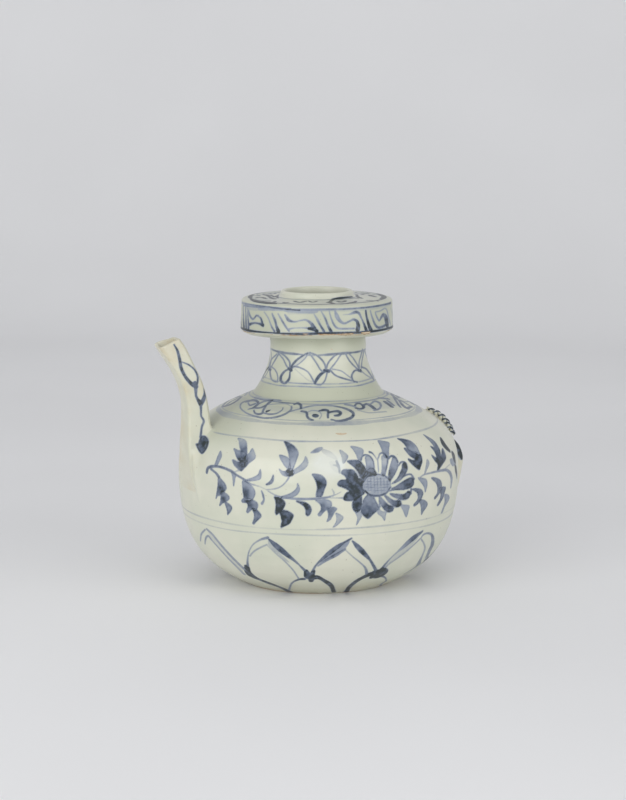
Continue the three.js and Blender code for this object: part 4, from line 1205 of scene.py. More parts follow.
def grid_faces(rows, columns, wrap_rows, wrap_columns):
    """Four-sided faces between neighbours in a grid of points."""
    i, j = np.meshgrid(
        np.arange(rows - (not wrap_rows)), np.arange(columns - (not wrap_columns)), indexing="ij")
    after_i, after_j = (i + 1) % rows, (j + 1) % columns
    corners = [(i, j), (i, after_j), (after_i, after_j), (after_i, j)]
    return np.stack([r * columns + c for r, c in corners], -1).reshape(-1, 4)


STRIPS = 3
STRIP_SHARE = 0.994


def strip_uv(item, profile):
    """Unrolls a turned skin as strips laid on top of each other, in a UV map named OFBake."""
    rows = len(profile)
    i, j = np.meshgrid(np.arange(rows), np.arange(COLUMNS), indexing="ij")
    along = lengths_along(np.concatenate([profile, profile[:1]]))
    share = along / along[-1]
    strip = STRIPS * j // COLUMNS
    u0, u1 = STRIPS * j / COLUMNS - strip, STRIPS * (j + 1) / COLUMNS - strip
    v0, v1 = share[i], share[i + 1]
    uv = np.stack([np.stack([u, v], -1) for u, v in ((u0, v0), (u1, v0), (u1, v1), (u0, v1))], 2)
    uv = (uv - 0.5) * STRIP_SHARE + 0.5
    uv[..., 1] = (uv[..., 1] + strip[..., None]) / STRIPS
    uv = uv.reshape(-1, 4, 2)
    if item.data.loops[0].vertex_index != 0:
        uv = uv[:, ::-1]
    layer = item.data.uv_layers.new(name="OFBake")
    layer.uv.foreach_set("vector", np.ascontiguousarray(uv, np.float32).ravel())


def hand_of_the_potter(points):
    """The slight unevenness of a form thrown by hand. It dies out near the spout and the ridge."""
    angle, z = np.arctan2(points[..., 1], points[..., 0]), points[..., 2]
    radius = np.hypot(points[..., 0], points[..., 1])
    drift = sum(depth * np.sin(beats * angle + rise * z + phase) for depth, beats, rise, phase in DRIFTS)
    rings = FINGER_DEPTH * np.sin(TAU * z / FINGER_PITCH + FINGER_LEAN * angle)
    clear = ease(math.pi - np.abs(angle), 0.3, 0.7) * ease(np.abs(angle - RIDGE_AZIMUTH), 0.1, 0.4)
    clear = 1 - (1 - clear) * fade(z, 95, 105)
    scale = 1 + (drift + rings) * clear * ease(radius, 5, 25) / np.maximum(radius, 5)
    points = points * np.stack([scale, scale, np.ones_like(scale)], -1)
    turn = math.radians(VIEW_AZIMUTH)
    x, y = points[..., 0], points[..., 1]
    aside, lifted = askew(x * math.cos(turn) + y * math.sin(turn), z)
    return points + np.stack([aside * math.cos(turn), aside * math.sin(turn), lifted], -1)


def ridge_frame(along):
    """Place and outward way on the ridge's line, for distances up the outline from the belly seam."""
    place = BODY.along_at(BELLY_SEAM) + np.asarray(along, float)
    radius, z = np.interp(place, BODY.along, BODY.radius), np.interp(place, BODY.along, BODY.height)
    n = np.stack([np.interp(place, BODY.along, BODY_NORMALS[:, k]) for k in (0, 1)], -1)
    out = np.array([math.cos(RIDGE_AZIMUTH), math.sin(RIDGE_AZIMUTH), 0])
    up = np.array([0, 0, 1.0])
    return radius[..., None] * out + z[..., None] * up, n[..., :1] * out + n[..., 1:] * up


ACROSS_RIDGE = np.array([-math.sin(RIDGE_AZIMUTH), math.cos(RIDGE_AZIMUTH), 0])


def rope_bed(points):
    """How high a low bed of slip stands on the body under the rope."""
    out = points[..., 0] * math.cos(RIDGE_AZIMUTH) + points[..., 1] * math.sin(RIDGE_AZIMUTH)
    aside = points @ ACROSS_RIDGE
    low, high = (ridge_frame(np.array(v))[0][2] for v in (ROPE[0] - 2, ROPE[1] + 0.5))
    z = points[..., 2]
    within = (out > 20) * ease(z, low - 2, low) * fade(z, high - 1.5, high + 0.3)
    return 0.85 * np.exp(-((aside / 1.5) ** 2)) * within


def turned_skin(name, profile, material, canvas=None, painted=slice(None), bare_rows=()):
    """A closed turned piece from its whole profile. Its first rows are the canvas's painted rows."""
    profile = np.asarray(profile, float)
    rows = len(profile)
    angles = FRONT - math.pi + TAU * np.arange(COLUMNS) / COLUMNS
    points = np.empty((rows, COLUMNS, 3))
    points[..., 0] = profile[:, :1] * np.cos(angles)
    points[..., 1] = profile[:, :1] * np.sin(angles)
    points[..., 2] = profile[:, 1:]
    values = {key: np.full((rows, COLUMNS), blank, np.float32) for key, blank in FIELDS.items()}
    if canvas is not None:
        for key, value in sheet_values(canvas).items():
            values[key][:len(value[painted])] = value[painted]
    for row in bare_rows:
        values["bare"][row] = -1.0
    if canvas is BODY:
        outward = BODY_NORMALS[painted]
        normals = np.empty((len(outward), COLUMNS, 3))
        normals[..., 0] = outward[:, :1] * np.cos(angles)
        normals[..., 1] = outward[:, :1] * np.sin(angles)
        normals[..., 2] = outward[:, 1:]
        outside = points[:len(outward)]
        x, y, z = np.moveaxis(outside, -1, 0)
        near = (x < ROOT_REACH) & (np.abs(y) < ROOT_BREADTH) & (z > ROOT_HEIGHTS[0]) & (z < ROOT_HEIGHTS[1])
        if near.any():
            outside[near] = fill_corner(outside[near], normals[near], 0)
            root = spout_painting(outside[near])
            for layer in ("line", "wash"):
                field, tone = (values[key][:len(outward)] for key in (layer, layer + "_tone"))
                nearer = getattr(root, layer) < field[near]
                field[near] = np.where(nearer, getattr(root, layer), field[near])
                tone[near] = np.where(nearer, getattr(root, layer + "_tone"), tone[near])
        outside += normals * rope_bed(outside)[..., None]
    item = mesh_object(name, hand_of_the_potter(points), grid_faces(rows, COLUMNS, True, True), material)
    strip_uv(item, profile)
    add_attributes(item.data, values)
    return item


def lower_body(material):
    """The lower bowl, with its flat bare foot."""
    inner = evenly(inset(LOWER_LINE, BODY_WALL), COARSE_STEP)
    inner = inner[inner[:, 1] > FLOOR + 1][::-1]
    inner[0] = (BELLY_RADIUS - BODY_WALL, BELLY_SEAM)
    hub = 0.3
    under = evenly([(hub + 0.5, 0), (FOOT_RADIUS - 0.8, 0)], 0.8)
    under[:, 1] = 0.12 + 0.12 * np.cos(TAU * under[:, 0] / 3.1)
    under[-1, 1] = 0
    profile = np.concatenate([
        LOWER_LINE,
        inner,
        [(FOOT_RADIUS + 3, FLOOR), (FOOT_RADIUS - 10, FLOOR - 0.2), (hub, FLOOR - 0.2), (hub, 0.2)],
        under,
    ])
    bare = range(len(profile) - len(under) - 1, len(profile))
    return turned_skin("body_lower_bowl", profile, material, BODY, LOWER_ROWS, bare)


def upper_body(material):
    """The shoulder bowl and its low collar."""
    inner = evenly(inset(SHOULDER_CURVE, BODY_WALL), COARSE_STEP)
    inner = inner[inner[:, 0] > COLLAR_RADIUS - NECK_WALL + BODY_WALL][::-1]
    inner[-1] = (BELLY_RADIUS - BODY_WALL, BELLY_SEAM)
    bore = COLLAR_RADIUS - NECK_WALL
    profile = np.concatenate([
        UPPER_LINE,
        [(bore, NECK_SEAM), (bore + 0.2 * BODY_WALL, NECK_FOOT[1] - 0.6 * BODY_WALL)],
        inner,
    ])
    return turned_skin("body_shoulder_bowl", profile, material, BODY, UPPER_ROWS)


def neck(material):
    """The waisted neck, open from end to end."""
    bore = NECK_RADIUS - NECK_WALL
    inner = evenly(inset(NECK_LINE, NECK_WALL), COARSE_STEP)
    inner = inner[(inner[:, 1] > NECK_SEAM + 1) & (inner[:, 1] < NECK_TOP - 1)][::-1]
    seam = (COLLAR_RADIUS - NECK_WALL, NECK_SEAM)
    profile = np.concatenate([NECK_LINE, [(bore, NECK_TOP)], inner, [seam]])
    return turned_skin("neck_tube", profile, material, BODY, NECK_ROWS)


def flange_plate(material):
    """The disc under the flange, with the foot of the wall's dark line and a rubbed line on its edge."""
    bore = NECK_RADIUS - NECK_WALL
    edge = smoothly([
        (FLANGE_RADIUS - UNDER_BEVEL[0] - 1.5, NECK_TOP),
        (FLANGE_RADIUS - UNDER_BEVEL[0], NECK_TOP + 0.15),
        (FLANGE_RADIUS - 0.8, NECK_TOP + 0.6 * UNDER_BEVEL[1]),
        (FLANGE_RADIUS, NECK_TOP + UNDER_BEVEL[1]),
        (FLANGE_RADIUS, PLATE_TOP),
    ], ROW_STEP)
    profile = np.concatenate([evenly([(bore, NECK_TOP), edge[0]], 1.0)[:-1], edge, [(bore, PLATE_TOP)]])
    canvas = Canvas(profile[:-1])
    around, height = canvas.azimuth[None, :], canvas.height[:, None]
    canvas.line = np.abs(height - PLATE_TOP - 0.1) - 0.55 + 0.15 * np.sin(7 * around)
    canvas.line_tone[:] = 1.0
    rubbed = height - PLATE_TOP + 1.0 + 0.2 * np.sin(3 * around)
    canvas.bare = np.abs(rubbed) - 0.12 + 0.12 * np.sin(7 * around + 1)
    edge_rows = 8
    canvas.line[:-edge_rows] = canvas.bare[:-edge_rows] = FAR
    paint_lines(canvas, RIM_CHIPS, layer="bare")
    for turn in CHIP_TURNS:
        paint_lines(canvas, RIM_CHIPS, math.radians(turn), layer="bare")
    canvas.stain += 0.7 * ease(canvas.height[:, None], NECK_TOP + 0.5, NECK_TOP + 2)
    return turned_skin("flange_plate", profile, material, canvas)


def flange_cap(material):
    """The thin shell of the flange's wall and top, with the raised lip."""
    ceiling = TOP_FOOT - 4.0
    inner = [
        (LIP_OPENING - 0.4, ceiling + 1.2),
        (LIP_OPENING + 0.1, ceiling + 0.3),
        (LIP_OPENING + 1.2, ceiling),
        (RIM_RADIUS - 6, ceiling),
        (RIM_RADIUS - 4.2, ceiling - 0.4),
        (RIM_RADIUS - 3.5, ceiling - 1.6),
        (FLANGE_RADIUS - 3.4, PLATE_TOP),
    ]
    whole = Canvas(np.concatenate([WALL.outline, TOP.outline[1:]]))
    for key in FIELDS:
        setattr(whole, key, np.concatenate([getattr(WALL, key), getattr(TOP, key)[1:]]))
    return turned_skin("flange_cap_shell", np.concatenate([whole.outline, inner]), material, whole)


OUTER_COLUMNS, BEND_COLUMNS, SIDE_COLUMNS = 12, 12, 26


def half_section(depth, breadth, corner):
    """Half of a rounded rectangle, from the middle of its outer side round to that of its inner side."""
    turn = np.linspace(0, math.pi / 2, BEND_COLUMNS, endpoint=False)
    u = np.concatenate([
        np.full(OUTER_COLUMNS, depth),
        depth - corner + corner * np.cos(turn),
        np.linspace(depth - corner, corner - depth, SIDE_COLUMNS, endpoint=False),
        corner - depth - corner * np.sin(turn),
        np.full(OUTER_COLUMNS + 1, -depth),
    ])
    v = np.concatenate([
        np.linspace(0, breadth - corner, OUTER_COLUMNS, endpoint=False),
        breadth - corner + corner * np.sin(turn),
        np.full(SIDE_COLUMNS, breadth),
        breadth - corner + corner * np.cos(turn),
        np.linspace(breadth - corner, 0, OUTER_COLUMNS + 1),
    ])
    return u, v


def spout_rows(rings, shrink, corner):
    """Half of the spout's section at each ring, made smaller by shrink."""
    rows = []
    for out, up, lean, depth, breadth in rings:
        u, v = half_section(depth - shrink, breadth - shrink, corner)
        lean = math.radians(lean)
        rows.append(np.stack([-(out + u * math.cos(lean)), v, up - u * math.sin(lean)], 1))
    return np.array(rows)


def spout_half(name, side, material):
    """One moulded half of the spout, on the side of its middle plane that the sign names."""
    rings = SPOUT_LINE[:-1]
    outer = spout_rows(rings, 0.0, SPOUT_CORNER)
    normals = spout_rows(rings, -0.1, SPOUT_CORNER + 0.1) - outer
    normals /= np.linalg.norm(normals, axis=-1)[..., None]
    low = outer[..., 2] < ROOT_TOP
    outer[low] = fill_corner(outer[low], normals[low], 1, 0.02)
    way = outer[-1].mean(0) - outer[-4].mean(0)
    way[1] = 0
    way /= np.linalg.norm(way)
    lip = [spout_rows(rings[-1:], shrink, corner)[0] + way * rise for shrink, corner, rise in SPOUT_LIP]
    below = lengths_along(rings[::-1])[::-1]
    wall = SPOUT_WALL + MOUTH_SLIP * ease(below, 0, 4) * fade(below, 7, 16)
    bore = [spout_rows(rings[k:k + 1], wall[k], BORE_CORNER)[0] for k in range(len(rings))][::-1]
    points = np.concatenate([outer, lip, bore, bore[-1:] - np.array([0, 0, 0.05])])
    rows, columns = points.shape[:2]
    wobble = 0.12 * np.sin(points[..., 2] / 7 + 1) + 0.06 * np.sin(points[..., 2] / 2.9)
    points[..., 0] += wobble * ease(points[..., 2], 80, 92)
    if side > 0:
        x, y, z = np.moveaxis(points, -1, 0)
        points[..., 2] += 1.3 * ease(z, 115, 123) * ease(y, 0, 4) * ease(-x, 76, 84)
    points[..., 1] *= side
    k = np.arange(rows // 2 - 1)
    cut = np.stack([k, k + 1, rows - 2 - k, rows - 1 - k], 1) * columns
    faces = np.concatenate([grid_faces(rows, columns, True, False), cut, cut[:, ::-1] + columns - 1])
    item = mesh_object(name, points, faces, material)
    sheet = spout_painting(points)
    row, column = np.meshgrid(np.arange(rows), np.arange(columns), indexing="ij")
    hidden = (row >= len(outer)) | (column > OUTER_COLUMNS + BEND_COLUMNS + SIDE_COLUMNS + 6)
    sheet.line[hidden] = FAR
    sheet.wash[hidden] = FAR
    z = points[..., 2]
    edge = about(column, OUTER_COLUMNS + BEND_COLUMNS / 2, 1, 6)
    inside = (row >= len(outer) + len(lip)) * 1.0
    sheet.stain = 0.3 + 0.2 * ease(z, 105, 120) + 0.2 * edge * ease(z, 60, 90) + 0.2 * inside
    sheet.bare = np.where(row == len(outer), 0.12, FAR)
    add_attributes(item.data, sheet_values(sheet))
    return item


def closed_tube(name, rings, material):
    """A tube through rings of points, with each end drawn together."""
    rings = np.asarray(rings, float)
    ends = [rings[k].mean(0) + (rings[k] - rings[k].mean(0)) * 0.05 for k in (0, -1)]
    points = np.concatenate([[ends[0]], rings, [ends[1]]])
    rows, columns = points.shape[:2]
    k = np.arange(columns // 2 - 1)
    end = np.stack([k, k + 1, columns - 2 - k, columns - 1 - k], 1)
    far_end = end + (rows - 1) * columns
    faces = np.concatenate([grid_faces(rows, columns, False, True), end[:, ::-1], far_end])
    return mesh_object(name, points, faces, material), points


def rounded_ends(count, steps, least):
    """How far a tube has opened at each of its rings: least at its ends, and whole some steps in."""
    from_end = np.minimum(np.arange(count), np.arange(count)[::-1])
    return np.sqrt(np.clip(from_end / steps, least, 1))


def rope_strand(name, phase, material):
    """One strand of the rope, with dark dashes laid in the photograph's plane and alike on both sides."""
    steps, sides = 130, 20
    along = np.linspace(*ROPE, steps)
    share = ROPE_TAPER[0] + (1 - ROPE_TAPER[0]) * np.minimum((ROPE[1] - along) / ROPE_TAPER[1], 1)
    turn = TAU * along / ROPE_PITCH + phase
    place, normal = ridge_frame(along)
    lift = ROPE_LIFT + share * (ROPE_HELIX + ROPE_STRAND)
    centre = place + normal * (lift + share * ROPE_HELIX * np.cos(turn))[:, None] \
        + ACROSS_RIDGE * (share * ROPE_HELIX * np.sin(turn))[:, None]
    way = np.gradient(centre, axis=0)
    way /= np.linalg.norm(way, axis=1)[:, None]
    first = np.cross(ACROSS_RIDGE, way)
    first /= np.linalg.norm(first, axis=1)[:, None]
    second = np.cross(way, first)
    angle = TAU * np.arange(sides) / sides
    radius = ROPE_STRAND * ROPE_PLUMP * share * rounded_ends(steps, 6, 0.06)
    ring = first[:, None] * np.cos(angle)[None, :, None] + second[:, None] * np.sin(angle)[None, :, None]
    item, points = closed_tube(name, centre[:, None] + ring * radius[:, None, None], material)
    behind = np.maximum(points @ ACROSS_RIDGE, 0)[..., None]
    x, y = in_photo(points - 2 * behind * ACROSS_RIDGE)
    sheet = Sheet(x * PIXEL, y * PIXEL)
    for dash in ROPE_DASHES:
        sheet.stroke(smoothly(read(dash), 0.6) * PIXEL, (0.5, 0.85, 0.95), 1.0)
    sheet.stain[:] = 0.1
    add_attributes(item.data, sheet_values(sheet))
    return item


def tail_roll(material):
    """The smooth tail under the rope: a rounded roll whose foot is smoothed into the belly."""
    along, height, half = smoothly(TAIL_STATIONS, 0.5).T
    place, normal = ridge_frame(along)
    foot = 1.75
    w = np.linspace(-foot, foot, 45)
    roll = np.clip(1 - np.abs(w) ** 2.3, 0, 1) ** 0.5
    skirt = 0.34 * np.clip(1 - np.abs(w) / foot, 0, 1) ** 2
    shape = np.maximum(roll, skirt)
    for _ in range(3):
        shape[1:-1] = (shape[:-2] + 2 * shape[1:-1] + shape[2:]) / 4
    sunk = 0.25
    rise = (height + sunk) * rounded_ends(len(along), 5, 0.05)
    aside = half[:, None] * w[None]
    lift = rise[:, None] * shape[None] - sunk - aside**2 / (2 * BELLY_RADIUS)
    top = place[:, None] + ACROSS_RIDGE * aside[..., None] + normal[:, None] * lift[..., None]
    under = place[:, None] + ACROSS_RIDGE * aside[..., None] + normal[:, None] * (lift * 0 - 1.2)[..., None]
    rings = np.concatenate([top, under[:, ::-1][:, 1:-1]], 1)
    item, points = closed_tube("ridge_tail_roll", rings, material)
    rows, columns = points.shape[:2]
    inner = np.clip(np.arange(rows) - 1, 0, len(along) - 1)
    side = np.concatenate([w, w[::-1][1:-1]])[None] * half[inner][:, None]
    up = np.repeat(along[inner][:, None], columns, 1)
    sheet = Sheet(side, up)
    for mirror in (-1, 1):
        for width, tone, places in TAIL_STROKES:
            sheet.stroke(smoothly(places, 0.4) * (mirror, 1), width, tone)
    sheet.stain = 0.1 + 0.15 * ease(np.abs(side), 1, 3)
    sheet.bare = np.hypot((side + 0.8) * 1.2, up - 13.0) - 0.6
    add_attributes(item.data, sheet_values(sheet))
    return item


def socket(group, name, kind, way, value=None):
    """Adds an input or an output to a shader group."""
    made = group.interface.new_socket(name=name, in_out=way, socket_type=kind)
    if value is not None:
        made.default_value = value
    return made


class Nodes:
    """A short way to add and join nodes in one tree."""

    def __init__(self, tree):
        self.tree = tree
        tree.nodes.clear()

    def add(self, kind, inputs=None, **settings):
        node = self.tree.nodes.new(kind)
        for key, value in settings.items():
            setattr(node, key, value)
        for key, value in (inputs or {}).items():
            if isinstance(value, bpy.types.NodeSocket):
                self.tree.links.new(value, node.inputs[key])
            else:
                node.inputs[key].default_value = value
        return node

    def math(self, operation, a, b=0.0, c=0.0, clamp=False):
        node = self.add("ShaderNodeMath", {0: a, 1: b, 2: c}, operation=operation, use_clamp=clamp)
        return node.outputs[0]

    def field(self, name):
        node = self.add("ShaderNodeAttribute", attribute_name=name, attribute_type="GEOMETRY")
        return node.outputs["Fac"]

    def noise(self, scale, detail=2.0, rough=0.5, place=None):
        inputs = {"Scale": scale, "Detail": detail, "Roughness": rough}
        if place is not None:
            inputs["Vector"] = place
        return self.add("ShaderNodeTexNoise", inputs).outputs["Fac"]

    def step(self, value, low, high, to_low=0.0, to_high=1.0):
        inputs = {"Value": value, "From Min": low, "From Max": high, "To Min": to_low, "To Max": to_high}
        return self.add("ShaderNodeMapRange", inputs, interpolation_type="SMOOTHSTEP").outputs["Result"]

    def mix(self, share, a, b):
        return self.add("ShaderNodeMix", {0: share, 6: a, 7: b}, data_type="RGBA").outputs[2]


def rgb(red, green, blue):
    """A colour as seen, 0 to 255, as the linear colour that a shader takes."""
    seen = (red, green, blue)
    return tuple(((c / 255 + 0.055) / 1.055) ** 2.4 if c > 10 else c / 255 / 12.92 for c in seen) + (1.0,)


# Cobalt under the glaze, from a thin wash to where it has heaped and burnt black
THIN_COBALT = rgb(140, 149, 163)
PLAIN_COBALT = rgb(80, 92, 112)
DEEP_COBALT = rgb(44, 55, 63)
HEAPED_COBALT = rgb(30, 40, 40)
MILKY_GLAZE = rgb(221, 226, 223)
PINHOLE = rgb(120, 104, 80)
CLAY_GRAIN = rgb(164, 140, 112)


def cobalt_group():
    """Underglaze painting: how much cobalt lies at each place, from the fields that the brushwork left."""
    tree = bpy.data.node_groups.new("cobalt_painting", "ShaderNodeTree")
    socket(tree, "Line Softness", "NodeSocketFloat", "INPUT", 0.33)
    socket(tree, "Bleed", "NodeSocketFloat", "INPUT", 0.16)
    socket(tree, "Halo", "NodeSocketFloat", "INPUT", 0.14)
    socket(tree, "Density", "NodeSocketFloat", "OUTPUT")
    socket(tree, "Heaped", "NodeSocketFloat", "OUTPUT")
    n = Nodes(tree)
    given = n.add("NodeGroupInput")
    place = n.add("ShaderNodeTexCoord").outputs["Object"]
    fine = n.noise(2600.0, 3.0, 0.6, place)
    broad = n.noise(420.0, 2.0, 0.5, place)
    wander = n.math("MULTIPLY", n.math("SUBTRACT", fine, 0.5), given.outputs["Bleed"])
    soft = given.outputs["Line Softness"]
    line = n.math("ADD", n.field("line"), n.math("MULTIPLY", wander, 2.0))
    line_mask = n.step(line, n.math("MULTIPLY", soft, -1.0), soft, 1.0, 0.0)
    wash = n.math("ADD", n.field("wash"), n.math("MULTIPLY", wander, 4.0))
    wash_mask = n.step(wash, -0.28, 0.25, 1.0, 0.0)
    pooled_and_shade = n.math("MULTIPLY_ADD", broad, 0.6, 0.68)
    wash_share = n.math("MULTIPLY", n.math("MULTIPLY", wash_mask, n.field("wash_tone")), pooled_and_shade)
    halo = n.step(line, 0.0, 1.0, 1.0, 0.0)
    line_mask = n.math("MULTIPLY_ADD", halo, given.outputs["Halo"], line_mask, clamp=True)
    line_share = n.math("MULTIPLY", n.math("MULTIPLY", line_mask, n.field("line_tone")),
                        n.math("MULTIPLY_ADD", broad, 0.7, 0.65))
    most = n.math("MAXIMUM", wash_share, line_share)
    least = n.math("MINIMUM", wash_share, line_share)
    washed_out = n.step(n.field("stain"), -1.0, -0.1, 0.45, 1.0)
    density = n.math("MULTIPLY", n.math("MULTIPLY_ADD", least, 0.25, most), washed_out, clamp=True)
    heaped = n.step(n.math("MULTIPLY_ADD", fine, 0.3, density), 0.95, 1.2)
    out = n.add("NodeGroupOutput")
    tree.links.new(density, out.inputs["Density"])
    tree.links.new(heaped, out.inputs["Heaped"])
    return tree


def glaze_group():
    """An old glaze: greenish white, warm where stained, with fine pinholes and a slight orange peel."""
    tree = bpy.data.node_groups.new("old_glaze", "ShaderNodeTree")
    socket(tree, "Glaze", "NodeSocketColor", "INPUT", rgb(213, 213, 197))
    socket(tree, "Thick Glaze", "NodeSocketColor", "INPUT", rgb(202, 205, 188))
    # The grey of glaze run thick, which also paints shade on the glaze
    socket(tree, "Pooled Glaze And Shade", "NodeSocketColor", "INPUT", rgb(180, 184, 164))
    socket(tree, "Stain", "NodeSocketColor", "INPUT", rgb(196, 180, 144))
    socket(tree, "Stain Everywhere", "NodeSocketFloat", "INPUT", 0.0)
    socket(tree, "Colour", "NodeSocketColor", "OUTPUT")
    socket(tree, "Roughness", "NodeSocketFloat", "OUTPUT")
    socket(tree, "Height", "NodeSocketFloat", "OUTPUT")
    n = Nodes(tree)
    given = n.add("NodeGroupInput")
    place = n.add("ShaderNodeTexCoord").outputs["Object"]
    clouds = n.noise(28.0, 4.0, 0.55, place)
    fine = n.noise(900.0, 3.0, 0.6, place)
    colour = n.mix(n.step(clouds, 0.35, 0.68), given.outputs["Glaze"], given.outputs["Thick Glaze"])
    blotch = n.step(n.noise(75.0, 4.0, 0.6, place), 0.4, 0.72)
    stained = n.math("MULTIPLY_ADD", blotch, 0.75, 0.25)
    amount = n.math("MULTIPLY", n.math("ADD", n.field("stain"), given.outputs["Stain Everywhere"]), stained,
                    clamp=True)
    colour = n.mix(amount, colour, given.outputs["Stain"])
    # Greyer where the glaze ran thick, and where shade is painted on: under the flange, in the neck's
    # groove and beside the spout's root
    pooled_and_shade = n.math("MULTIPLY", n.field("pooled_and_shade"), 1.0, clamp=True)
    colour = n.mix(pooled_and_shade, colour, given.outputs["Pooled Glaze And Shade"])
    smear = n.step(n.field("stain"), -1.0, -0.05, 1.0, 0.0)
    milky = n.math("MULTIPLY", smear, n.step(blotch, 0.0, 0.5, 0.5, 1.0))
    colour = n.mix(milky, colour, MILKY_GLAZE)
    pits = n.step(n.noise(1100.0, 0.0, 0.5, place), 0.83, 0.88)
    colour = n.mix(n.math("MULTIPLY", pits, 0.5), colour, PINHOLE)
    rough = n.math("MULTIPLY_ADD", fine, 0.1, 0.26)
    out = n.add("NodeGroupOutput")
    tree.links.new(colour, out.inputs["Colour"])
    tree.links.new(rough, out.inputs["Roughness"])
    tree.links.new(n.noise(240.0, 2.0, 0.5, place), out.inputs["Height"])
    return tree


def bare_group():
    """Clay without glaze where the bare field is negative: worn rims and the foot."""
    tree = bpy.data.node_groups.new("bare_clay", "ShaderNodeTree")
    socket(tree, "Clay", "NodeSocketColor", "INPUT", rgb(206, 190, 164))
    socket(tree, "Burnt Edge", "NodeSocketColor", "INPUT", rgb(168, 136, 98))
    socket(tree, "Mask", "NodeSocketFloat", "OUTPUT")
    socket(tree, "Colour", "NodeSocketColor", "OUTPUT")
    n = Nodes(tree)
    given = n.add("NodeGroupInput")
    place = n.add("ShaderNodeTexCoord").outputs["Object"]
    ragged = n.math("MULTIPLY_ADD", n.noise(500.0, 3.0, 0.6, place), 0.7, -0.35)
    edge = n.math("ADD", n.field("bare"), ragged)
    mask = n.step(edge, -0.1, 0.1, 1.0, 0.0)
    rim = n.step(edge, -0.35, 0.0)
    grain = n.noise(1800.0, 3.0, 0.6, place)
    clay = n.mix(n.step(grain, 0.35, 0.75, 0.0, 0.35), given.outputs["Clay"], CLAY_GRAIN)
    colour = n.mix(rim, clay, given.outputs["Burnt Edge"])
    out = n.add("NodeGroupOutput")
    tree.links.new(mask, out.inputs["Mask"])
    tree.links.new(colour, out.inputs["Colour"])
    return tree


COBALT = cobalt_group()
GLAZE = glaze_group()
BARE = bare_group()


def porcelain(name, stained=0.0, burnt=(198, 178, 150)):
    """Glazed and painted porcelain, with bare clay where the piece has lost or never had its glaze."""
    material = bpy.data.materials.new(name)
    material.use_nodes = True
    n = Nodes(material.node_tree)
    glaze = n.add("ShaderNodeGroup", node_tree=GLAZE)
    glaze.inputs["Stain Everywhere"].default_value = stained
    paint = n.add("ShaderNodeGroup", node_tree=COBALT)
    bare = n.add("ShaderNodeGroup", node_tree=BARE)
    bare.inputs["Burnt Edge"].default_value = rgb(*burnt)
    density = paint.outputs["Density"]
    thin = n.mix(n.step(density, 0.0, 0.55), glaze.outputs["Colour"], THIN_COBALT)
    blue = n.mix(n.step(density, 0.45, 0.9), thin, PLAIN_COBALT)
    dark = n.mix(n.step(density, 0.84, 1.04), blue, DEEP_COBALT)
    heaped = n.mix(n.math("MULTIPLY", paint.outputs["Heaped"], 0.8), dark, HEAPED_COBALT)
    colour = n.mix(bare.outputs["Mask"], heaped, bare.outputs["Colour"])
    rough = n.math("ADD", glaze.outputs["Roughness"], n.math("MULTIPLY", bare.outputs["Mask"], 0.55))
    height = n.math("MULTIPLY", glaze.outputs["Height"], n.math("SUBTRACT", 1.0, bare.outputs["Mask"]))
    bump = n.add("ShaderNodeBump", {"Strength": 0.12, "Distance": 0.0004, "Height": height})
    shader = n.add("ShaderNodeBsdfPrincipled", {
        "Base Color": colour,
        "Roughness": rough,
        "Normal": bump.outputs["Normal"],
        "IOR": 1.5,
    })
    output = n.add("ShaderNodeOutputMaterial")
    material.node_tree.links.new(shader.outputs["BSDF"], output.inputs["Surface"])
    return material


def fired_slip():
    """Rough fired slip on the bands inside the vessel."""
    material = bpy.data.materials.new("fired_slip")
    material.use_nodes = True
    n = Nodes(material.node_tree)
    place = n.add("ShaderNodeTexCoord").outputs["Object"]
    grain = n.noise(1400.0, 4.0, 0.6, place)
    patches = n.noise(90.0, 3.0, 0.5, place)
    colour = n.mix(n.step(patches, 0.35, 0.7), rgb(214, 202, 180), rgb(190, 172, 144))
    bump = n.add("ShaderNodeBump", {"Strength": 0.5, "Distance": 0.0005, "Height": grain})
    shader = n.add("ShaderNodeBsdfPrincipled", {
        "Base Color": colour,
        "Roughness": n.math("MULTIPLY_ADD", grain, 0.2, 0.7),
        "Normal": bump.outputs["Normal"],
    })
    output = n.add("ShaderNodeOutputMaterial")
    material.node_tree.links.new(shader.outputs["BSDF"], output.inputs["Surface"])
    return material


def stage():
    """A pale floor that runs up into a backdrop."""
    material = bpy.data.materials.new("pale_backdrop")
    material.use_nodes = True
    n = Nodes(material.node_tree)
    place = n.add("ShaderNodeTexCoord").outputs["Object"]
    colour = n.mix(n.step(n.noise(3.0, 2.0, 0.5, place), 0.3, 0.7), rgb(243, 243, 244), rgb(239, 239, 240))
    shader = n.add("ShaderNodeBsdfPrincipled", {"Base Color": colour, "Roughness": 0.75})
    output = n.add("ShaderNodeOutputMaterial")
    material.node_tree.links.new(shader.outputs["BSDF"], output.inputs["Surface"])
    reach, back, rise, sweep = 2600.0, 1500.0, 3200.0, 600.0
    section = [(-reach, 0), (back - sweep, 0)]
    for t in np.linspace(0.1, math.pi / 2, 16):
        section.append((back - sweep + sweep * math.sin(t), sweep - sweep * math.cos(t)))
    section.append((back, rise))
    turn = math.radians(VIEW_AZIMUTH)
    vertices = []
    for away, up in section:
        for side in (-reach, reach):
            vertices.append((side * math.cos(turn) - away * math.sin(turn),
                             side * math.sin(turn) + away * math.cos(turn), up))
    faces = [(2 * k, 2 * k + 1, 2 * k + 3, 2 * k + 2) for k in range(len(section) - 1)]
    mesh_object("floor_sweep", np.array(vertices), faces, material)


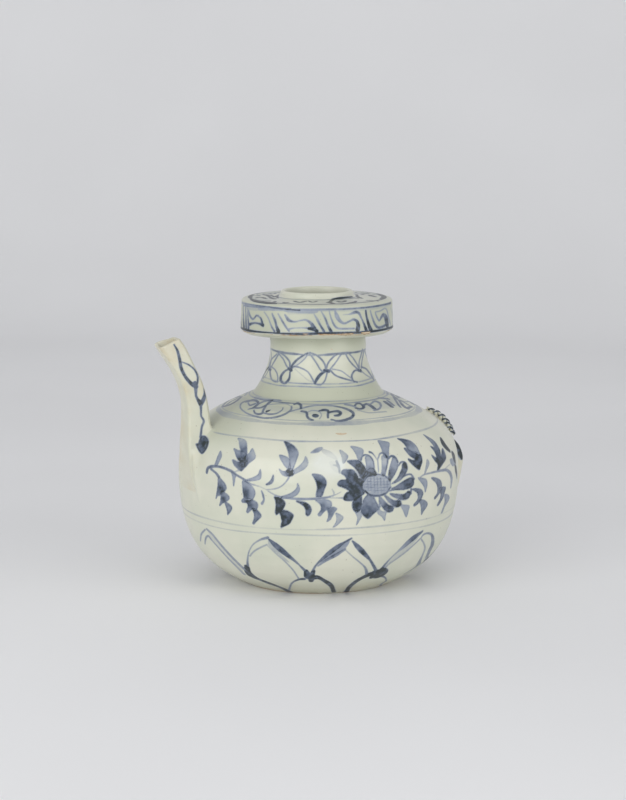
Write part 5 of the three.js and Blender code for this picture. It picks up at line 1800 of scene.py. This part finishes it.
def lamp(name, azimuth, elevation, distance, size, watts):
    """A soft square lamp aimed at the vessel, azimuth from the front of the view."""
    data = bpy.data.lights.new(name, "AREA")
    data.shape = "SQUARE"
    data.size = size * MM
    data.energy = watts
    item = bpy.data.objects.new(name, data)
    turn, tilt = FRONT + math.radians(azimuth), math.radians(elevation)
    way = Vector((math.cos(turn) * math.cos(tilt), math.sin(turn) * math.cos(tilt), math.sin(tilt)))
    target = Vector((0, 0, VIEW_HEIGHT * MM))
    item.location = target + way * distance * MM
    item.rotation_mode = "QUATERNION"
    item.rotation_quaternion = (-way).to_track_quat("-Z", "Y")
    bpy.context.scene.collection.objects.link(item)


# Lamps: azimuth from the front of the view, elevation, distance and size in millimetres, and watts
LAMPS = (
    ("key_lamp", -38, 12, 1500, 1300, 13),
    ("fill_lamp", 50, 8, 1700, 1300, 12),
    ("top_lamp", 0, 80, 1500, 1400, 1.6),
)


def lights():
    """Three soft lamps in a pale room."""
    world = bpy.data.worlds.new("studio")
    bpy.context.scene.world = world
    world.use_nodes = True
    n = Nodes(world.node_tree)
    background = n.add("ShaderNodeBackground", {"Color": (0.97, 0.98, 1.0, 1.0), "Strength": 0.5})
    output = n.add("ShaderNodeOutputWorld")
    world.node_tree.links.new(background.outputs[0], output.inputs["Surface"])
    for name, azimuth, elevation, distance, size, watts in LAMPS:
        lamp(name, azimuth, elevation, distance, size, watts)


def camera():
    """The camera of the photograph."""
    data = bpy.data.cameras.new("camera")
    data.sensor_width = SENSOR
    data.lens = FOCAL_PIXELS / max(PHOTO_SIZE) * SENSOR
    item = bpy.data.objects.new("camera", data)
    turn, tilt = math.radians(VIEW_AZIMUTH), math.radians(VIEW_ELEVATION)
    back = Vector((math.sin(turn) * math.cos(tilt), -math.cos(turn) * math.cos(tilt), math.sin(tilt)))
    right = Vector((math.cos(turn), math.sin(turn), 0))
    item.location = (Vector((0, 0, VIEW_HEIGHT)) + back * VIEW_DISTANCE - right * VIEW_LEFT) * MM
    item.rotation_mode = "QUATERNION"
    item.rotation_quaternion = (-back).to_track_quat("-Z", "Y")
    data.clip_start, data.clip_end = 0.05, 20
    bpy.context.scene.collection.objects.link(item)
    bpy.context.scene.camera = item


def show(item, *nodes, slot="glazed_porcelain"):
    """Puts a piece on the fired vessel, in place of its CAD nodes."""
    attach(item, "root")
    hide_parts(*nodes)


bpy.context.scene.view_settings.view_transform = "Standard"
GLAZED = porcelain("glazed_body")
RAISED = porcelain("glazed_relief", 0.12, (176, 146, 108))
FLANGED = porcelain("glazed_flange", 0.0, (150, 112, 74))
show(lower_body(GLAZED), "lower_body")
show(upper_body(GLAZED), "upper_body")
show(neck(GLAZED), "neck")
show(flange_plate(FLANGED), "flange_underplate")
show(flange_cap(FLANGED), "flange_cap")
show(spout_half("spout_half_left", -1, RAISED), "spout_left_half", "spout_root_coil")
show(spout_half("spout_half_right", 1, RAISED), "spout_right_half")
show(rope_strand("ridge_rope_strand_a", 0.0, RAISED), "rope_strand_a")
show(rope_strand("ridge_rope_strand_b", math.pi, RAISED), "rope_strand_b")
show(tail_roll(RAISED), "tail_roll")
SLIP = fired_slip()
for band in ("belly_slip_band", "neck_slip_band", "flange_slip_band"):
    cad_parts[band].data.materials[0] = SLIP
stage()
lights()
camera()
